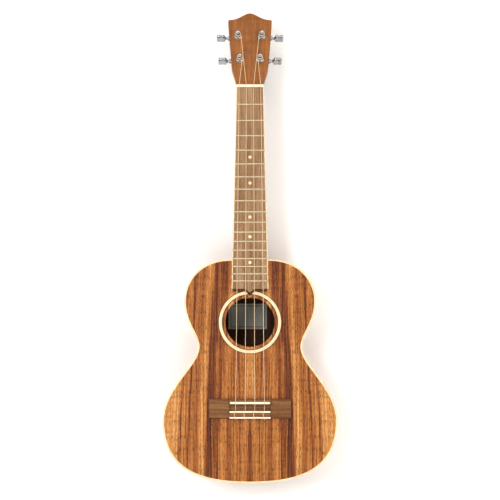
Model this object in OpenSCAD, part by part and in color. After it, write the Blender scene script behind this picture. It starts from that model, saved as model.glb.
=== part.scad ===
// Tenor ukulele lying on its back. Millimetres. +Y runs to the headstock, +X to the player's right
// when the soundboard (+Z) faces up. The origin is under the middle of the whole instrument.

/* [Scale] */
// Open string length from nut to saddle, before compensation
scale_len = 432; // [428:1:436]
// Extra string length at the saddle
saddle_comp = 2.5; // [1.5:0.1:3.5]
// Distance from the tail of the body to the front of the nut
tail_to_nut = 540.8; // [539:0.1:542]
// Number of frets
fret_count = 17; // [15:1:17]
// Fret at which the neck meets the body
body_fret = 14; // [14:1:14]

/* [Body outline] */
// Half width of the upper bout
upper_half = 89.7; // [88:0.1:91]
// Half width of the waist
waist_half = 70.6; // [69:0.1:72]
// Half width of the lower bout
lower_half = 117.7; // [115:0.1:120]
// Upper bout's widest point, measured from the tail
upper_at = 244.3; // [243:0.1:246]
// Waist, measured from the tail
waist_at = 181.1; // [179:0.1:183]
// Lower bout's widest point, measured from the tail
lower_at = 83.7; // [82:0.1:86]
// Half width of the straight stretch where the neck meets the body
shoulder_flat = 25; // [25:0.5:26]

/* [Body build] */
// Depth of the body
body_depth = 70; // [68:1:72]
// Width of the edge binding, and thickness of the sides
binding_w = 2.3; // [2:0.1:2.6]
// Height of the edge binding
binding_h = 5; // [4:0.5:6]
// Thickness of the soundboard
top_t = 2.2; // [2:0.1:2.5]
// Thickness of the back
back_t = 2.5; // [2:0.1:3]
// Width of the kerfed lining
lining_w = 5; // [4:0.5:6]
// Height of the kerfed lining
lining_h = 8; // [6:0.5:10]

/* [Soundhole] */
// Radius of the soundhole
hole_r = 33.5; // [32:0.1:35]
// Soundhole centre, measured from the tail
hole_at = 215.05; // [214:0.05:216]
// Inner radius of the rosette ring
rosette_in = 37.9; // [37:0.1:38.5]
// Outer radius of the rosette ring
rosette_out = 42.6; // [42:0.1:43.5]
// Width of the thin line on each side of the rosette
rosette_line = 0.6; // [0.4:0.1:0.8]
// Depth of the rosette inlay
rosette_t = 1; // [0.8:0.1:1.2]

/* [Neck] */
// Half width of the neck at the nut
nut_half = 19; // [18.5:0.1:19.5]
// Half width of the neck at the far end of the fretboard
board_end_half = 25; // [24.5:0.1:25.5]
// Distance from the nut at which that width is taken
board_taper_len = 280; // [278:1:282]
// Thickness of the fretboard
board_t = 6; // [5.5:0.5:6.5]
// Width of the fretboard binding
board_binding_w = 1.2; // [1:0.1:1.5]
// Depth of the neck under the fretboard at the nut
neck_depth = 14; // [13:0.5:15]
// Growth of that depth towards the heel
neck_growth = 2.5; // [1.5:0.5:3]
// Length of the heel's curve
heel_len = 46; // [40:1:50]
// Thickness of the nut along the strings
nut_t = 4.2; // [4:0.1:4.5]

/* [Headstock] */
// Backward tilt of the headstock
head_tilt = 12; // [11:0.5:13]
// Length of the headstock face
head_len = 114.4; // [113:0.1:116]
// Thickness of the headstock without its veneer
head_core_t = 11; // [10:0.5:12]
// Thickness of the headstock veneer
veneer_t = 2; // [1.5:0.1:2.2]

/* [Bridge] */
// Full width of the bridge
bridge_w = 110.5; // [108:0.5:112]
// Width of the raised middle of the bridge
tie_w = 54.8; // [54:0.1:56]
// Bridge length along the strings
bridge_len = 26.2; // [26:0.1:26.5]
// Distance from the bridge's front edge to the saddle's centre
saddle_in = 5.5; // [5:0.1:6]

/* [Strings] */
// String radius
string_r = 0.35; // [0.3:0.01:0.4]
// Spacing of the strings at the nut
nut_spacing = 10; // [9.5:0.1:10]
// Spacing of the strings at the saddle
saddle_spacing = 12.8; // [12:0.1:13]

/* [Tuners] */
// Distance of the two posts near the nut from the centre line
low_post_x = 14.2; // [14:0.1:14.5]
// Distance of those posts along the headstock face
low_post_s = 40.5; // [40:0.1:41]
// Distance of the two posts near the tip from the centre line
high_post_x = 16.8; // [16.5:0.1:17]
// Distance of those posts along the headstock face
high_post_s = 77.3; // [77:0.1:78]
// Radius of a string post
post_r = 3; // [3:0.1:3.1]
// Running clearance of the turning tuner parts
run_gap = 0.05; // [0.04:0.01:0.08]
// Teeth on the worm wheel
wheel_teeth = 14; // [14:1:14]
// Gear module of the worm and its wheel
gear_module = 0.6; // [0.6:0.1:0.6]

/* [Hidden] */
$fn = 64;

// Finishes
koa = "#c07a48";
ivory = "#fff4dc";
walnut = "#b98f6a";
dark_walnut = "#7d5b40";
mahogany = "#ac6634";
spruce = "#e0c79a";
ebony = "#2b211b";
chrome = "#d4d8dc";
nickel = "#cfcac0";
nylon = "#efeadf";
paper = "#e9e6dc";

// Heights
board_top = body_depth + board_t;
face_z = body_depth + veneer_t;
string_nut_z = board_top + 1.6;
string_saddle_z = board_top + 5.35;
nut_top = board_top + 2;
heel_bottom = 2;

// Positions along the instrument
total_len = tail_to_nut + nut_t + head_len * cos(head_tilt);
tail_y = -total_len / 2;
nut_y = tail_y + tail_to_nut;
shoulder_y = nut_y - fret_at(body_fret);
hole_y = tail_y + hole_at;
saddle_y = nut_y - scale_len - saddle_comp;
bridge_front = saddle_y + saddle_in;
bridge_rear = bridge_front - bridge_len;
board_end = nut_y - 284;
board_tip = board_end - 5.3;
tip_half = 7;

// Bridge section
bridge_top = body_depth + 8;
tie_top = body_depth + 7.8;
tie_front = bridge_rear + 9.8;
string_hole_z = body_depth + 4.6;
strip = 2;
saddle_t = 3;
saddle_w = 54;

// Tuner parts, measured from the face of the headstock at the post's axis:
// x outwards, y to the tip, z up from the face
head_back = -veneer_t - head_core_t;
worm_y = 6.4;
worm_z = -17.5;
case_floor = -22;
wheel_r = gear_module * wheel_teeth / 2;
worm_pitch = PI * gear_module;
worm_turns = 4;
worm_r = 2.1;
worm_throw = 0.6;
shaft_r = 2;
case_out = 12;
collar_out = 15.3;
button_in = 17.5;
button_out = 31;
ear_x = -9;
wrap_z = 8.15;
wrap_r = post_r + 0.55;

// Distance of a fret from the nut
function fret_at(n) = scale_len * (1 - pow(2, -n / 12));

// Half width of the neck at a distance from the nut
function neck_half(d) = nut_half + (board_end_half - nut_half) * d / board_taper_len;

// Cubic curve from a to d with handles b and c, without its last point
function curve(a, b, c, d, n) = [for (i = [0 : n - 1]) let (t = i / n, u = 1 - t)
    u * u * u * a + 3 * u * u * t * b + 3 * u * t * t * c + t * t * t * d];

function mirrored(pts) = [for (i = [len(pts) - 1 : -1 : 0]) [-pts[i].x, pts[i].y]];

function reversed(pts) = [for (i = [len(pts) - 1 : -1 : 0]) pts[i]];

// Right half of the body's outline, from the neck to the tail
shoulder = [shoulder_flat, shoulder_y];
upper = [upper_half, tail_y + upper_at];
waist = [waist_half, tail_y + waist_at];
lower = [lower_half, tail_y + lower_at];
tail = [0, tail_y];
half_outline = concat([[0, shoulder_y]],
    curve(shoulder, shoulder + [44.3, 0], upper + [0, 27.1], upper, 18),
    curve(upper, upper - [0, 31], waist + [0, 17.1], waist, 12),
    curve(waist, waist - [0, 23.2], lower + [0, 41.9], lower, 18),
    curve(lower, lower - [0, 73.8], tail + [55, 0], tail, 26),
    [tail]);
outline = concat(half_outline, mirrored([for (i = [1 : len(half_outline) - 2]) half_outline[i]]));

// The outline moved inwards by d
function inset(d) = let (n = len(outline)) [for (i = [0 : n - 1])
    let (t = outline[(i + 1) % n] - outline[(i + n - 1) % n]) outline[i] + d * [t.y, -t.x] / norm(t)];

// Right half of the inset outline
function half_inset(d) = let (pts = inset(d)) [for (i = [0 : len(half_outline) - 1]) pts[i]];

module body_slice(d, z, h) translate([0, 0, z]) linear_extrude(h) polygon(inset(d));

module body_ring(z, h) translate([0, 0, z]) linear_extrude(h) difference() {
    polygon(outline);
    polygon(inset(binding_w));
}

module at_hole(z) translate([0, hole_y, z]) children();

// Body

module soundboard() color(koa) difference() {
    body_slice(binding_w, body_depth - top_t, top_t);
    at_hole(body_depth - top_t - 1) cylinder(r = hole_r, h = top_t + 2);
    at_hole(body_depth - rosette_t) difference() {
        cylinder(r = rosette_out + rosette_line, h = rosette_t + 1);
        translate([0, 0, -1]) cylinder(r = rosette_in - rosette_line, h = rosette_t + 3);
    }
}

module inlay_ring(inner, outer) at_hole(body_depth - rosette_t) linear_extrude(rosette_t) difference() {
    circle(outer, $fn = 128);
    circle(inner, $fn = 128);
}

module rosette() color(ivory) inlay_ring(rosette_in, rosette_out);

module rosette_lines() color(ebony) {
    inlay_ring(rosette_in - rosette_line, rosette_in);
    inlay_ring(rosette_out, rosette_out + rosette_line);
}

module back_plate() color(koa) body_slice(binding_w, 0, back_t);

// Two dowels that hold the heel against the neck block, or their holes
dowel_r = 4;
dowel_z = [24, 50];
module dowel_set(r, extra) for (z = dowel_z)
    translate([0, shoulder_y - 18 - extra, z]) rotate([-90, 0, 0]) cylinder(r = r, h = 30 + 2 * extra);

module side_half() difference() {
    translate([0, 0, binding_h]) linear_extrude(body_depth - 2 * binding_h)
        polygon(concat(half_outline, reversed(half_inset(binding_w))));
    dowel_set(dowel_r, 0.5);
}

module side_right() color(koa) side_half();

module side_left() color(koa) mirror([1, 0, 0]) side_half();

module top_binding() color(ivory) body_ring(body_depth - binding_h, binding_h);

module back_binding() color(ivory) body_ring(0.2, binding_h - 0.2);

// Lining strip with saw cuts, so that it bends round the body
kerf_deep = inset(binding_w + 1.4);
kerf_full = inset(binding_w + lining_w);
kerf_from = [for (i = [0 : len(half_outline) - 1]) if (half_outline[i].x > 30) i];
function between(a, b, t) = a + (b - a) * t;
lining_teeth = [for (i = kerf_from) if (i < kerf_from[len(kerf_from) - 1])
    each [kerf_full[i], between(kerf_full[i], kerf_full[i + 1], 0.8),
        between(kerf_deep[i], kerf_deep[i + 1], 0.8), kerf_deep[i + 1]]];
lining_back = [for (i = kerf_from) half_inset(binding_w)[i]];

module lining(z) translate([0, 0, z]) linear_extrude(lining_h)
    polygon(concat(lining_teeth, reversed(lining_back)));

module kerfed_linings() color(spruce) for (flip = [0, 1]) mirror([flip, 0, 0]) {
    lining(back_t);
    lining(body_depth - top_t - lining_h);
}

// Block whose outer face follows the inside of the sides near the centre line
block_h = body_depth - top_t - back_t;
module end_block(pts, inner_y) translate([0, 0, back_t]) linear_extrude(block_h)
    polygon(concat(pts, [[shoulder_flat, inner_y], [-shoulder_flat, inner_y]]));

module neck_block() color(mahogany) difference() {
    end_block([[-shoulder_flat, shoulder_y - binding_w], [shoulder_flat, shoulder_y - binding_w]],
        shoulder_y - binding_w - 24);
    dowel_set(dowel_r, 0.5);
}

tail_face = [for (p = inset(binding_w)) if (p.y < lower.y && abs(p.x) <= 26) p];
module tail_block() color(mahogany) translate([0, 0, back_t]) linear_extrude(block_h)
    polygon(concat(tail_face, [[tail_face[len(tail_face) - 1].x, tail_y + 17], [tail_face[0].x, tail_y + 17]]));

module brace(x, y, length, width, height, z, turn = 0)
    translate([x, y, z + height / 2]) rotate([0, 0, turn]) cube([length, width, height], center = true);

module transverse_braces() color(spruce) for (b = [[hole_y + 43, 156], [hole_y - 42, 122]])
    brace(0, b[0], b[1], 7, 10, body_depth - top_t - 10);

plate_t = 2;
module plate_box(h) brace(0, (bridge_front + bridge_rear) / 2, 130, 34, h, body_depth - top_t - h);

module bridge_plate() color(spruce) plate_box(plate_t);

module fan_braces() color(spruce) difference() {
    for (side = [-1, 0, 1])
        brace(side * 33, tail_y + 93, 132, 5, 7, body_depth - top_t - 7, 90 + side * 9);
    plate_box(plate_t);
}

module back_braces() color(spruce) for (b = [[256, 150], [178, 120], [86, 214]])
    brace(0, tail_y + b[0], b[1], 7, 8, back_t);

module label() color(paper) translate([-3.2, hole_y + 12, back_t + 0.1])
    cube([54.6, 36.2, 0.2], center = true);

// Neck

// Depth of the neck below the fretboard at a distance from the nut
heel_d = fret_at(body_fret);
heel_rise = 90;
function neck_drop(d) = let (u = (heel_d - d) / heel_len, base = neck_depth + neck_growth * d / heel_d)
    base + (u < 1 ? heel_rise * pow(1 - u, 2.2) : 0);

// Roundness of the section, and how much narrower the heel is at its foot
round_power = 0.86;
foot_taper = 0.45;
function narrowing(depth) = 1 - foot_taper * pow(depth / body_depth, 1.2);

// One cross-section, from the left edge under the fretboard down and round to the right edge
ring_n = 24;
function neck_ring(d) = [for (i = [0 : ring_n]) let (a = 180 * i / ring_n, c = cos(a),
        depth = min(neck_drop(d) * pow(sin(a), round_power), body_depth - heel_bottom))
    [-neck_half(d) * sign(c) * pow(abs(c), round_power) * narrowing(depth), nut_y - d, body_depth - depth]];

neck_stops = concat([for (i = [0 : 12]) -nut_t + i * (nut_t + heel_d - heel_len) / 12],
    [for (i = [1 : 16]) heel_d - heel_len * (1 - i / 16)]);

module neck_shaft() {
    rings = [for (d = neck_stops) neck_ring(d)];
    m = ring_n + 1;
    last = len(rings) - 1;
    polyhedron(points = [for (r = rings) each r],
        faces = concat(
            [[for (i = [0 : ring_n]) i]],
            [[for (i = [ring_n : -1 : 0]) last * m + i]],
            [for (k = [0 : last - 1], i = [0 : ring_n]) let (j = (i + 1) % m)
                each [[k * m + i, (k + 1) * m + i, k * m + j],
                    [k * m + j, (k + 1) * m + i, (k + 1) * m + j]]]));
}

// Headstock face, x across and y from the nut to the crown's tip
head_root = nut_half + 0.15;
head_side = concat(
    [[head_root, -8]],
    curve([head_root, 0], [19.8, 13], [24.5, 19], [25.7, 30], 10),
    curve([25.7, 30], [27, 47], [30, 84], [31, 98], 3),
    curve([31, 98], [31.2, 101.5], [31, 103.6], [28.5, 103.6], 6),
    curve([28.5, 103.6], [16, 103.2], [8, head_len], [0, head_len], 16),
    [[0, head_len]]);
head_outline = concat(head_side, mirrored([for (i = [0 : len(head_side) - 2]) head_side[i]]));

module on_head() translate([0, nut_y + nut_t, face_z]) rotate([-head_tilt, 0, 0]) children();

// Tuner order is g, c, e, a: side, distance from the centre line, distance along the face
tuners = [[-1, low_post_x, low_post_s], [-1, high_post_x, high_post_s],
    [1, high_post_x, high_post_s], [1, low_post_x, low_post_s]];

module at_tuner(k) on_head() mirror([tuners[k][0] < 0 ? 1 : 0, 0, 0])
    translate([tuners[k][1], tuners[k][2], 0]) children();

module head_holes() for (k = [0 : 3]) at_tuner(k) {
    translate([0, 0, head_back - 1]) cylinder(r = 4, h = 20);
    translate([ear_x, 0, head_back - 1]) cylinder(r = 1, h = 8.2, $fn = 24);
}

module neck() color(mahogany) difference() {
    union() {
        neck_shaft();
        on_head() translate([0, 0, head_back]) linear_extrude(head_core_t) polygon(head_outline);
    }
    translate([-40, nut_y - 20, body_depth]) cube([80, 20 + nut_t + 0.01, 20]);
    head_holes();
    dowel_set(dowel_r, 0.5);
}

module headstock_veneer() color(mahogany) difference() {
    on_head() translate([0, 0, -veneer_t]) linear_extrude(veneer_t) polygon(head_outline);
    translate([-40, nut_y - 20, body_depth - 5]) cube([80, 20 + nut_t, 20]);
    head_holes();
}

// The heel's foot: its length along the neck, and its half width at a distance from the nut
foot_drop = body_depth - heel_bottom;
foot_len = heel_len * (1 - pow((foot_drop - neck_depth - neck_growth) / heel_rise, 1 / 2.2));
function foot_half(d) = let (s = pow(min(foot_drop / neck_drop(d), 1), 1 / round_power))
    neck_half(d) * pow(sqrt(1 - s * s), round_power) * narrowing(foot_drop);
foot_side = [for (i = [0 : 12]) let (d = heel_d - foot_len * (1 - i / 12)) [foot_half(d), nut_y - d]];
module heel_cap() color(ivory) translate([0, 0, 0.3]) linear_extrude(heel_bottom - 0.3)
    polygon(concat(foot_side, mirrored(foot_side)));

module neck_dowels() color(spruce) dowel_set(dowel_r, 0);

// Fretboard

slot_w = 0.6;
slot_deep = 2;
board_w = [for (d = [0, 284]) neck_half(d) - board_binding_w];
board_outline = concat([[board_w[0], nut_y], [board_w[1], board_end]],
    curve([tip_half, board_end], [4, board_end], [2.5, board_tip], [0, board_tip], 6),
    mirrored(curve([tip_half, board_end], [4, board_end], [2.5, board_tip], [0, board_tip], 6)),
    [[-board_w[1], board_end], [-board_w[0], nut_y]]);

dot_r = 2.2;
dot_frets = [5, 7, 10, 12, 15];
function mid_fret(n) = nut_y - (fret_at(n - 1) + fret_at(n)) / 2;

module dots(r, z, h) for (n = dot_frets) translate([0, mid_fret(n), z]) cylinder(r = r, h = h, $fn = 32);

module fretboard() color(walnut) difference() {
    translate([0, 0, body_depth]) linear_extrude(board_t) polygon(board_outline);
    for (n = [1 : fret_count]) translate([0, nut_y - fret_at(n), board_top])
        cube([60, slot_w, 2 * slot_deep], center = true);
    dots(dot_r, board_top - 1, 2);
}

module board_edge() translate([0, 0, body_depth]) linear_extrude(board_t)
    polygon([[neck_half(0), nut_y], [neck_half(284), board_end], [board_w[1], board_end], [board_w[0], nut_y]]);

side_dot_r = 1;
module side_dot_set(depth) for (n = dot_frets) let (w = neck_half(nut_y - mid_fret(n)))
    translate([-w - 0.2, mid_fret(n), body_depth + board_t / 2]) rotate([0, 90, 0])
        cylinder(r = side_dot_r, h = depth, $fn = 24);

module fretboard_binding() color(ivory) difference() {
    for (flip = [0, 1]) mirror([flip, 0, 0]) board_edge();
    side_dot_set(0.9);
}

module side_dots() color(ebony) intersection() {
    side_dot_set(0.9);
    mirror([1, 0, 0]) board_edge();
}

module fret_wire(n) {
    w = neck_half(fret_at(n));
    translate([0, nut_y - fret_at(n), board_top]) {
        rotate([90, 0, 90]) translate([0, 0, -w + 0.5]) linear_extrude(2 * w - 1) intersection() {
            translate([0, -0.25]) circle(1.25, $fn = 32);
            translate([-2, 0]) square([4, 2]);
        }
        translate([-w + board_binding_w + 0.3, -0.25, -slot_deep + 0.2])
            cube([2 * (w - board_binding_w - 0.3), 0.5, slot_deep - 0.1]);
    }
}

module frets() color(nickel) for (n = [1 : fret_count]) fret_wire(n);

module position_dots() color(ivory) dots(dot_r, board_top - 1, 1);

// String positions, in the order g, c, e, a
function nut_x(k) = (k - 1.5) * nut_spacing;
function saddle_x(k) = (k - 1.5) * saddle_spacing;

module nut() color(ivory) difference() {
    translate([-nut_half, 0, 0]) rotate([90, 0, 90]) linear_extrude(2 * nut_half)
        polygon([[nut_y, body_depth], [nut_y + nut_t, body_depth], [nut_y + nut_t, nut_top - 1.6],
            [nut_y + nut_t - 1.2, nut_top - 0.3], [nut_y + nut_t - 2, nut_top], [nut_y, nut_top]]);
    for (k = [0 : 3]) translate([nut_x(k), nut_y - 1, string_nut_z]) rotate([-90, 0, 0]) {
        cylinder(r = string_r + 0.07, h = nut_t + 2, $fn = 24);
        translate([-string_r - 0.07, -2, 0]) cube([2 * string_r + 0.14, 2, nut_t + 2]);
    }
}

// Bridge

module bridge_section() polygon([[bridge_front, body_depth], [bridge_front, body_depth + 3],
    [bridge_front - 1.6, bridge_top - 0.6], [bridge_front - 2.4, bridge_top],
    [saddle_y + saddle_t / 2, bridge_top], [saddle_y + saddle_t / 2, body_depth + 3.5],
    [saddle_y - saddle_t / 2, body_depth + 3.5], [saddle_y - saddle_t / 2, bridge_top],
    [saddle_y - 3.2, bridge_top], [saddle_y - 4.2, body_depth + 3.2], [tie_front, body_depth + 3.2],
    [tie_front, tie_top - strip], [tie_front - strip, tie_top - strip], [tie_front - strip, tie_top],
    [bridge_rear + strip, tie_top], [bridge_rear + strip, tie_top - strip],
    [bridge_rear, tie_top - strip], [bridge_rear, body_depth]]);

module wing_section() polygon([[bridge_front, body_depth], [bridge_front, body_depth + 2.4],
    [bridge_front - 1.4, body_depth + 3.8], [bridge_rear + 1.4, body_depth + 3.8],
    [bridge_rear, body_depth + 2.4], [bridge_rear, body_depth]]);

module bridge() color(dark_walnut) difference() {
    union() {
        translate([-tie_w / 2, 0, 0]) rotate([90, 0, 90]) linear_extrude(tie_w) bridge_section();
        for (flip = [0, 1]) mirror([flip, 0, 0]) translate([tie_w / 2 - 0.01, 0, 0]) rotate([90, 0, 90])
            linear_extrude((bridge_w - tie_w) / 2) wing_section();
    }
    for (k = [0 : 3]) translate([saddle_x(k), bridge_rear - 1, string_hole_z]) rotate([-90, 0, 0])
        cylinder(r = 0.8, h = tie_front - bridge_rear + 2, $fn = 24);
}

module saddle() color(ivory) translate([-saddle_w / 2, 0, 0]) rotate([90, 0, 90]) linear_extrude(saddle_w)
    union() {
        translate([saddle_y - saddle_t / 2, body_depth + 3.5]) square([saddle_t, 6]);
        translate([saddle_y, body_depth + 9.5]) circle(saddle_t / 2, $fn = 48);
    }

module tie_strips() color(ivory) for (y = [tie_front - strip, bridge_rear])
    translate([-tie_w / 2, y, tie_top - strip]) cube([tie_w, strip, strip]);

// Strings

function head_point(x, s, h) = [x, nut_y + nut_t + s * cos(head_tilt) + h * sin(head_tilt),
    face_z - s * sin(head_tilt) + h * cos(head_tilt)];

// Route of a string from its tucked end at the bridge, over saddle and nut, and round its post
function string_route(k) = let (t = tuners[k], xs = saddle_x(k), xn = nut_x(k), post_x = t[0] * t[1],
    lean = -2.4, over = tie_top + string_r + 0.07) concat(
    [[xs + lean, tie_front + 0.6, tie_top - 2.4], [xs + lean, tie_front + 0.55, tie_top - 0.6],
        [xs + lean, tie_front + 0.25, over - 0.15], [xs + lean + 0.1, tie_front - 0.7, over],
        [xs - 0.9, bridge_rear + 1, over], [xs - 0.6, bridge_rear - 0.25, over - 0.15],
        [xs - 0.3, bridge_rear - 0.65, tie_top - 0.6], [xs - 0.1, bridge_rear - 0.7, string_hole_z + 0.9],
        [xs, bridge_rear - 0.45, string_hole_z + 0.15], [xs, bridge_rear + 0.3, string_hole_z],
        [xs, tie_front - 0.3, string_hole_z], [xs, tie_front + 0.8, string_hole_z + 0.25],
        [xs, saddle_y - 1.9, string_saddle_z - 0.75], [xs, saddle_y, string_saddle_z],
        [xn, nut_y + 0.3, string_nut_z], [xn, nut_y + nut_t - 1.8, string_nut_z]],
    [for (a = [0 : 18 : 306]) head_point(post_x - t[0] * wrap_r * cos(a), t[2] + wrap_r * sin(a), wrap_z)]);

function unit(v) = v / norm(v);

// Direction of a route at each of its points
function headings(p) = [for (i = [0 : len(p) - 1]) unit(p[min(i + 1, len(p) - 1)] - p[max(i - 1, 0)])];

// A side vector carried along the headings without twisting
function carried(h, i, u) = i == len(h) ? [] :
    let (w = unit(u - (u * h[i]) * h[i])) concat([w], carried(h, i + 1, w));

tube_n = 8;
module tube(route) {
    h = headings(route);
    u = carried(h, 0, [1, 0, 0]);
    last = len(route) - 1;
    polyhedron(points = [for (i = [0 : last], j = [0 : tube_n - 1]) let (a = 360 * j / tube_n)
            route[i] + string_r * (cos(a) * u[i] + sin(a) * cross(h[i], u[i]))],
        faces = concat(
            [[for (j = [tube_n - 1 : -1 : 0]) j]],
            [[for (j = [0 : tube_n - 1]) last * tube_n + j]],
            [for (i = [0 : last - 1], j = [0 : tube_n - 1]) let (n = (j + 1) % tube_n, b = i * tube_n)
                each [[b + j, b + n, b + tube_n + j], [b + n, b + tube_n + n, b + tube_n + j]]]));
}

module ukulele_string(k) color(nylon) tube(string_route(k));

// Turns already wound on a post
module winding(k) color(nylon) at_tuner(k) for (i = [1 : 3])
    translate([0, 0, wrap_z - i * (2 * string_r + 0.05)]) rotate_extrude()
        translate([post_r + string_r + 0.01, 0]) circle(string_r, $fn = 16);

// Tuners

module along_x(x, r, h) translate([x, worm_y, worm_z]) rotate([0, 90, 0]) cylinder(r = r, h = h);

module tuner_case(k) color(chrome) at_tuner(k) difference() {
    union() {
        translate([-6.5, -6.4, case_floor]) cube([case_out + 6.5, 17, head_back - case_floor]);
        translate([ear_x, 0, head_back - 1.2]) cylinder(r = 3.2, h = 1.2);
        translate([ear_x, -3.2, head_back - 1.2]) cube([4, 6.4, 1.2]);
        along_x(case_out - 1, 3.4, collar_out - case_out + 1);
    }
    translate([0, 0, case_floor + 1.5]) cylinder(r = post_r + run_gap, h = 12);
    translate([0, 0, worm_z - 1.4]) cylinder(r = 5.2, h = 2.8);
    along_x(-4.2, 3, 8.4);
    along_x(-5.8, shaft_r + run_gap, 30);
    translate([ear_x, 0, head_back - 2]) cylinder(r = 1.1, h = 3, $fn = 24);
}

module tuner_post(k) color(chrome) at_tuner(k) difference() {
    union() {
        translate([0, 0, case_floor + 1.6]) cylinder(r = post_r, h = 12 - case_floor - 1.6);
        translate([0, 0, 12]) cylinder(r = post_r - 0.5, h = 0.5);
    }
    translate([-5, 0, 10]) rotate([0, 90, 0]) cylinder(r = 0.7, h = 10, $fn = 24);
}

// Straight teeth, one of them centred on the worm at rest
module worm_wheel(k) color(nickel) at_tuner(k) translate([0, 0, worm_z - 1]) difference() {
    linear_extrude(2) union() {
        circle(wheel_r - 0.7, $fn = 48);
        for (i = [0 : wheel_teeth - 1]) rotate(i * 360 / wheel_teeth)
            polygon([[-0.45, wheel_r - 0.8], [0.45, wheel_r - 0.8], [0.3, wheel_r + 0.1], [0.14, wheel_r + 0.5],
                [-0.14, wheel_r + 0.5], [-0.3, wheel_r + 0.1]]);
    }
    translate([0, 0, -1]) cylinder(r = post_r + 0.01, h = 4);
}

worm_len = worm_turns * worm_pitch;
module worm_shaft(k) color(nickel) at_tuner(k) {
    along_x(-5.6, shaft_r, 5.6 - worm_len / 2);
    translate([-worm_len / 2, worm_y, worm_z]) rotate([0, 90, 0])
        linear_extrude(worm_len, twist = -360 * worm_turns, slices = 9 * worm_turns, $fn = 18)
            translate([0, worm_throw]) circle(worm_r, $fn = 18);
    along_x(worm_len / 2, shaft_r, button_out - 3 - worm_len / 2);
}

// Button's broad face, x along the shaft and y across it
button_side = concat(curve([button_in, 3.6], [19, 3.9], [19.5, 8.2], [24.5, 8.2], 8),
    curve([24.5, 8.2], [29.5, 8.2], [button_out, 5.5], [button_out, 2.5], 8), [[button_out, 2.5]]);
button_face = concat(button_side, [for (p = reversed(button_side)) [p.x, -p.y]]);
button_half_t = 4;
dish_r = 22;

module tuner_button(k) color(chrome) at_tuner(k) translate([0, worm_y, worm_z]) difference() {
    rotate([90, 0, 0]) translate([0, 0, -button_half_t]) linear_extrude(2 * button_half_t) polygon(button_face);
    for (side = [-1, 1]) translate([24.2, side * (dish_r + 2.7), -12]) cylinder(r = dish_r, h = 24, $fn = 128);
    translate([button_in - 1, 0, 0]) rotate([0, 90, 0]) cylinder(r = shaft_r + 0.01, h = button_out - 2 - button_in);
}

module tuner_bushings() color(chrome) for (k = [0 : 3]) at_tuner(k) difference() {
    union() {
        translate([0, 0, -8]) cylinder(r = 3.99, h = 8.9);
        translate([0, 0, 0.8]) rotate(30) cylinder(r = 4.9, h = 2.5, $fn = 6);
    }
    translate([0, 0, -9]) cylinder(r = post_r + run_gap, h = 14);
}

module tuner_washers() color(chrome) for (k = [0 : 3]) at_tuner(k) difference() {
    cylinder(r = 5.4, h = 0.8);
    translate([0, 0, -1]) cylinder(r = 4, h = 3);
}

module tuner_screws() color(chrome) for (k = [0 : 3]) at_tuner(k) translate([ear_x, 0, head_back - 1.2]) {
    translate([0, 0, -1.1]) cylinder(r = 2, h = 1.1);
    cylinder(r = 0.95, h = 8, $fn = 24);
}

soundboard();
rosette();
rosette_lines();
back_plate();
side_left();
side_right();
top_binding();
back_binding();
kerfed_linings();
neck_block();
tail_block();
transverse_braces();
fan_braces();
bridge_plate();
back_braces();
label();
neck();
heel_cap();
headstock_veneer();
nut();
fretboard();
fretboard_binding();
frets();
position_dots();
side_dots();
neck_dowels();
bridge();
saddle();
tie_strips();
ukulele_string(0);  // string_g
ukulele_string(1);  // string_c
ukulele_string(2);  // string_e
ukulele_string(3);  // string_a
winding(0);  // winding_g
winding(1);  // winding_c
winding(2);  // winding_e
winding(3);  // winding_a
tuner_case(0);  // tuner_case_g
tuner_case(1);  // tuner_case_c
tuner_case(2);  // tuner_case_e
tuner_case(3);  // tuner_case_a
tuner_post(0);  // tuner_post_g
tuner_post(1);  // tuner_post_c
tuner_post(2);  // tuner_post_e
tuner_post(3);  // tuner_post_a
worm_wheel(0);  // worm_wheel_g
worm_wheel(1);  // worm_wheel_c
worm_wheel(2);  // worm_wheel_e
worm_wheel(3);  // worm_wheel_a
worm_shaft(0);  // worm_shaft_g
worm_shaft(1);  // worm_shaft_c
worm_shaft(2);  // worm_shaft_e
worm_shaft(3);  // worm_shaft_a
tuner_button(0);  // tuner_button_g
tuner_button(1);  // tuner_button_c
tuner_button(2);  // tuner_button_e
tuner_button(3);  // tuner_button_a
tuner_bushings();
tuner_washers();
tuner_screws();
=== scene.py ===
import logging
import math
from dataclasses import dataclass, field
from enum import Enum
from typing import Callable, Sequence

import bmesh
import bpy
from mathutils import Matrix, Vector


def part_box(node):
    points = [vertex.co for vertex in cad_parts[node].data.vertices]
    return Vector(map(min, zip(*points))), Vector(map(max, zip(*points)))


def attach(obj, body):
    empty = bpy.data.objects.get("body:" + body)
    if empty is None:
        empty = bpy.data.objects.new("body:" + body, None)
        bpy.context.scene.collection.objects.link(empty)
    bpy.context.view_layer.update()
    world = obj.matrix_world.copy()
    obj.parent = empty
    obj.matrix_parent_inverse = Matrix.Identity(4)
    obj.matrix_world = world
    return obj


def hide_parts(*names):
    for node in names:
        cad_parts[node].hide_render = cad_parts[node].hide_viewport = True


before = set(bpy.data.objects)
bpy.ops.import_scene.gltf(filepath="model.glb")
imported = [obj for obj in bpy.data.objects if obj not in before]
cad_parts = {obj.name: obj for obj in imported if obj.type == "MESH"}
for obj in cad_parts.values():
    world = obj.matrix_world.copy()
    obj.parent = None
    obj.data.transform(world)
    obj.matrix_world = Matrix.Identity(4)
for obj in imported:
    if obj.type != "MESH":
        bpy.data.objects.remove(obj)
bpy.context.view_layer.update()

MM = 0.001
# Edges sharper than this many degrees stay sharp unless a piece asks for another limit
CREASE = 32.0
Flat = tuple[float, float]
Point = tuple[float, float, float]
Ring = list[Point]
log = logging.getLogger("ukulele")


# ---------------------------------------------------------------- shapes


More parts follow.
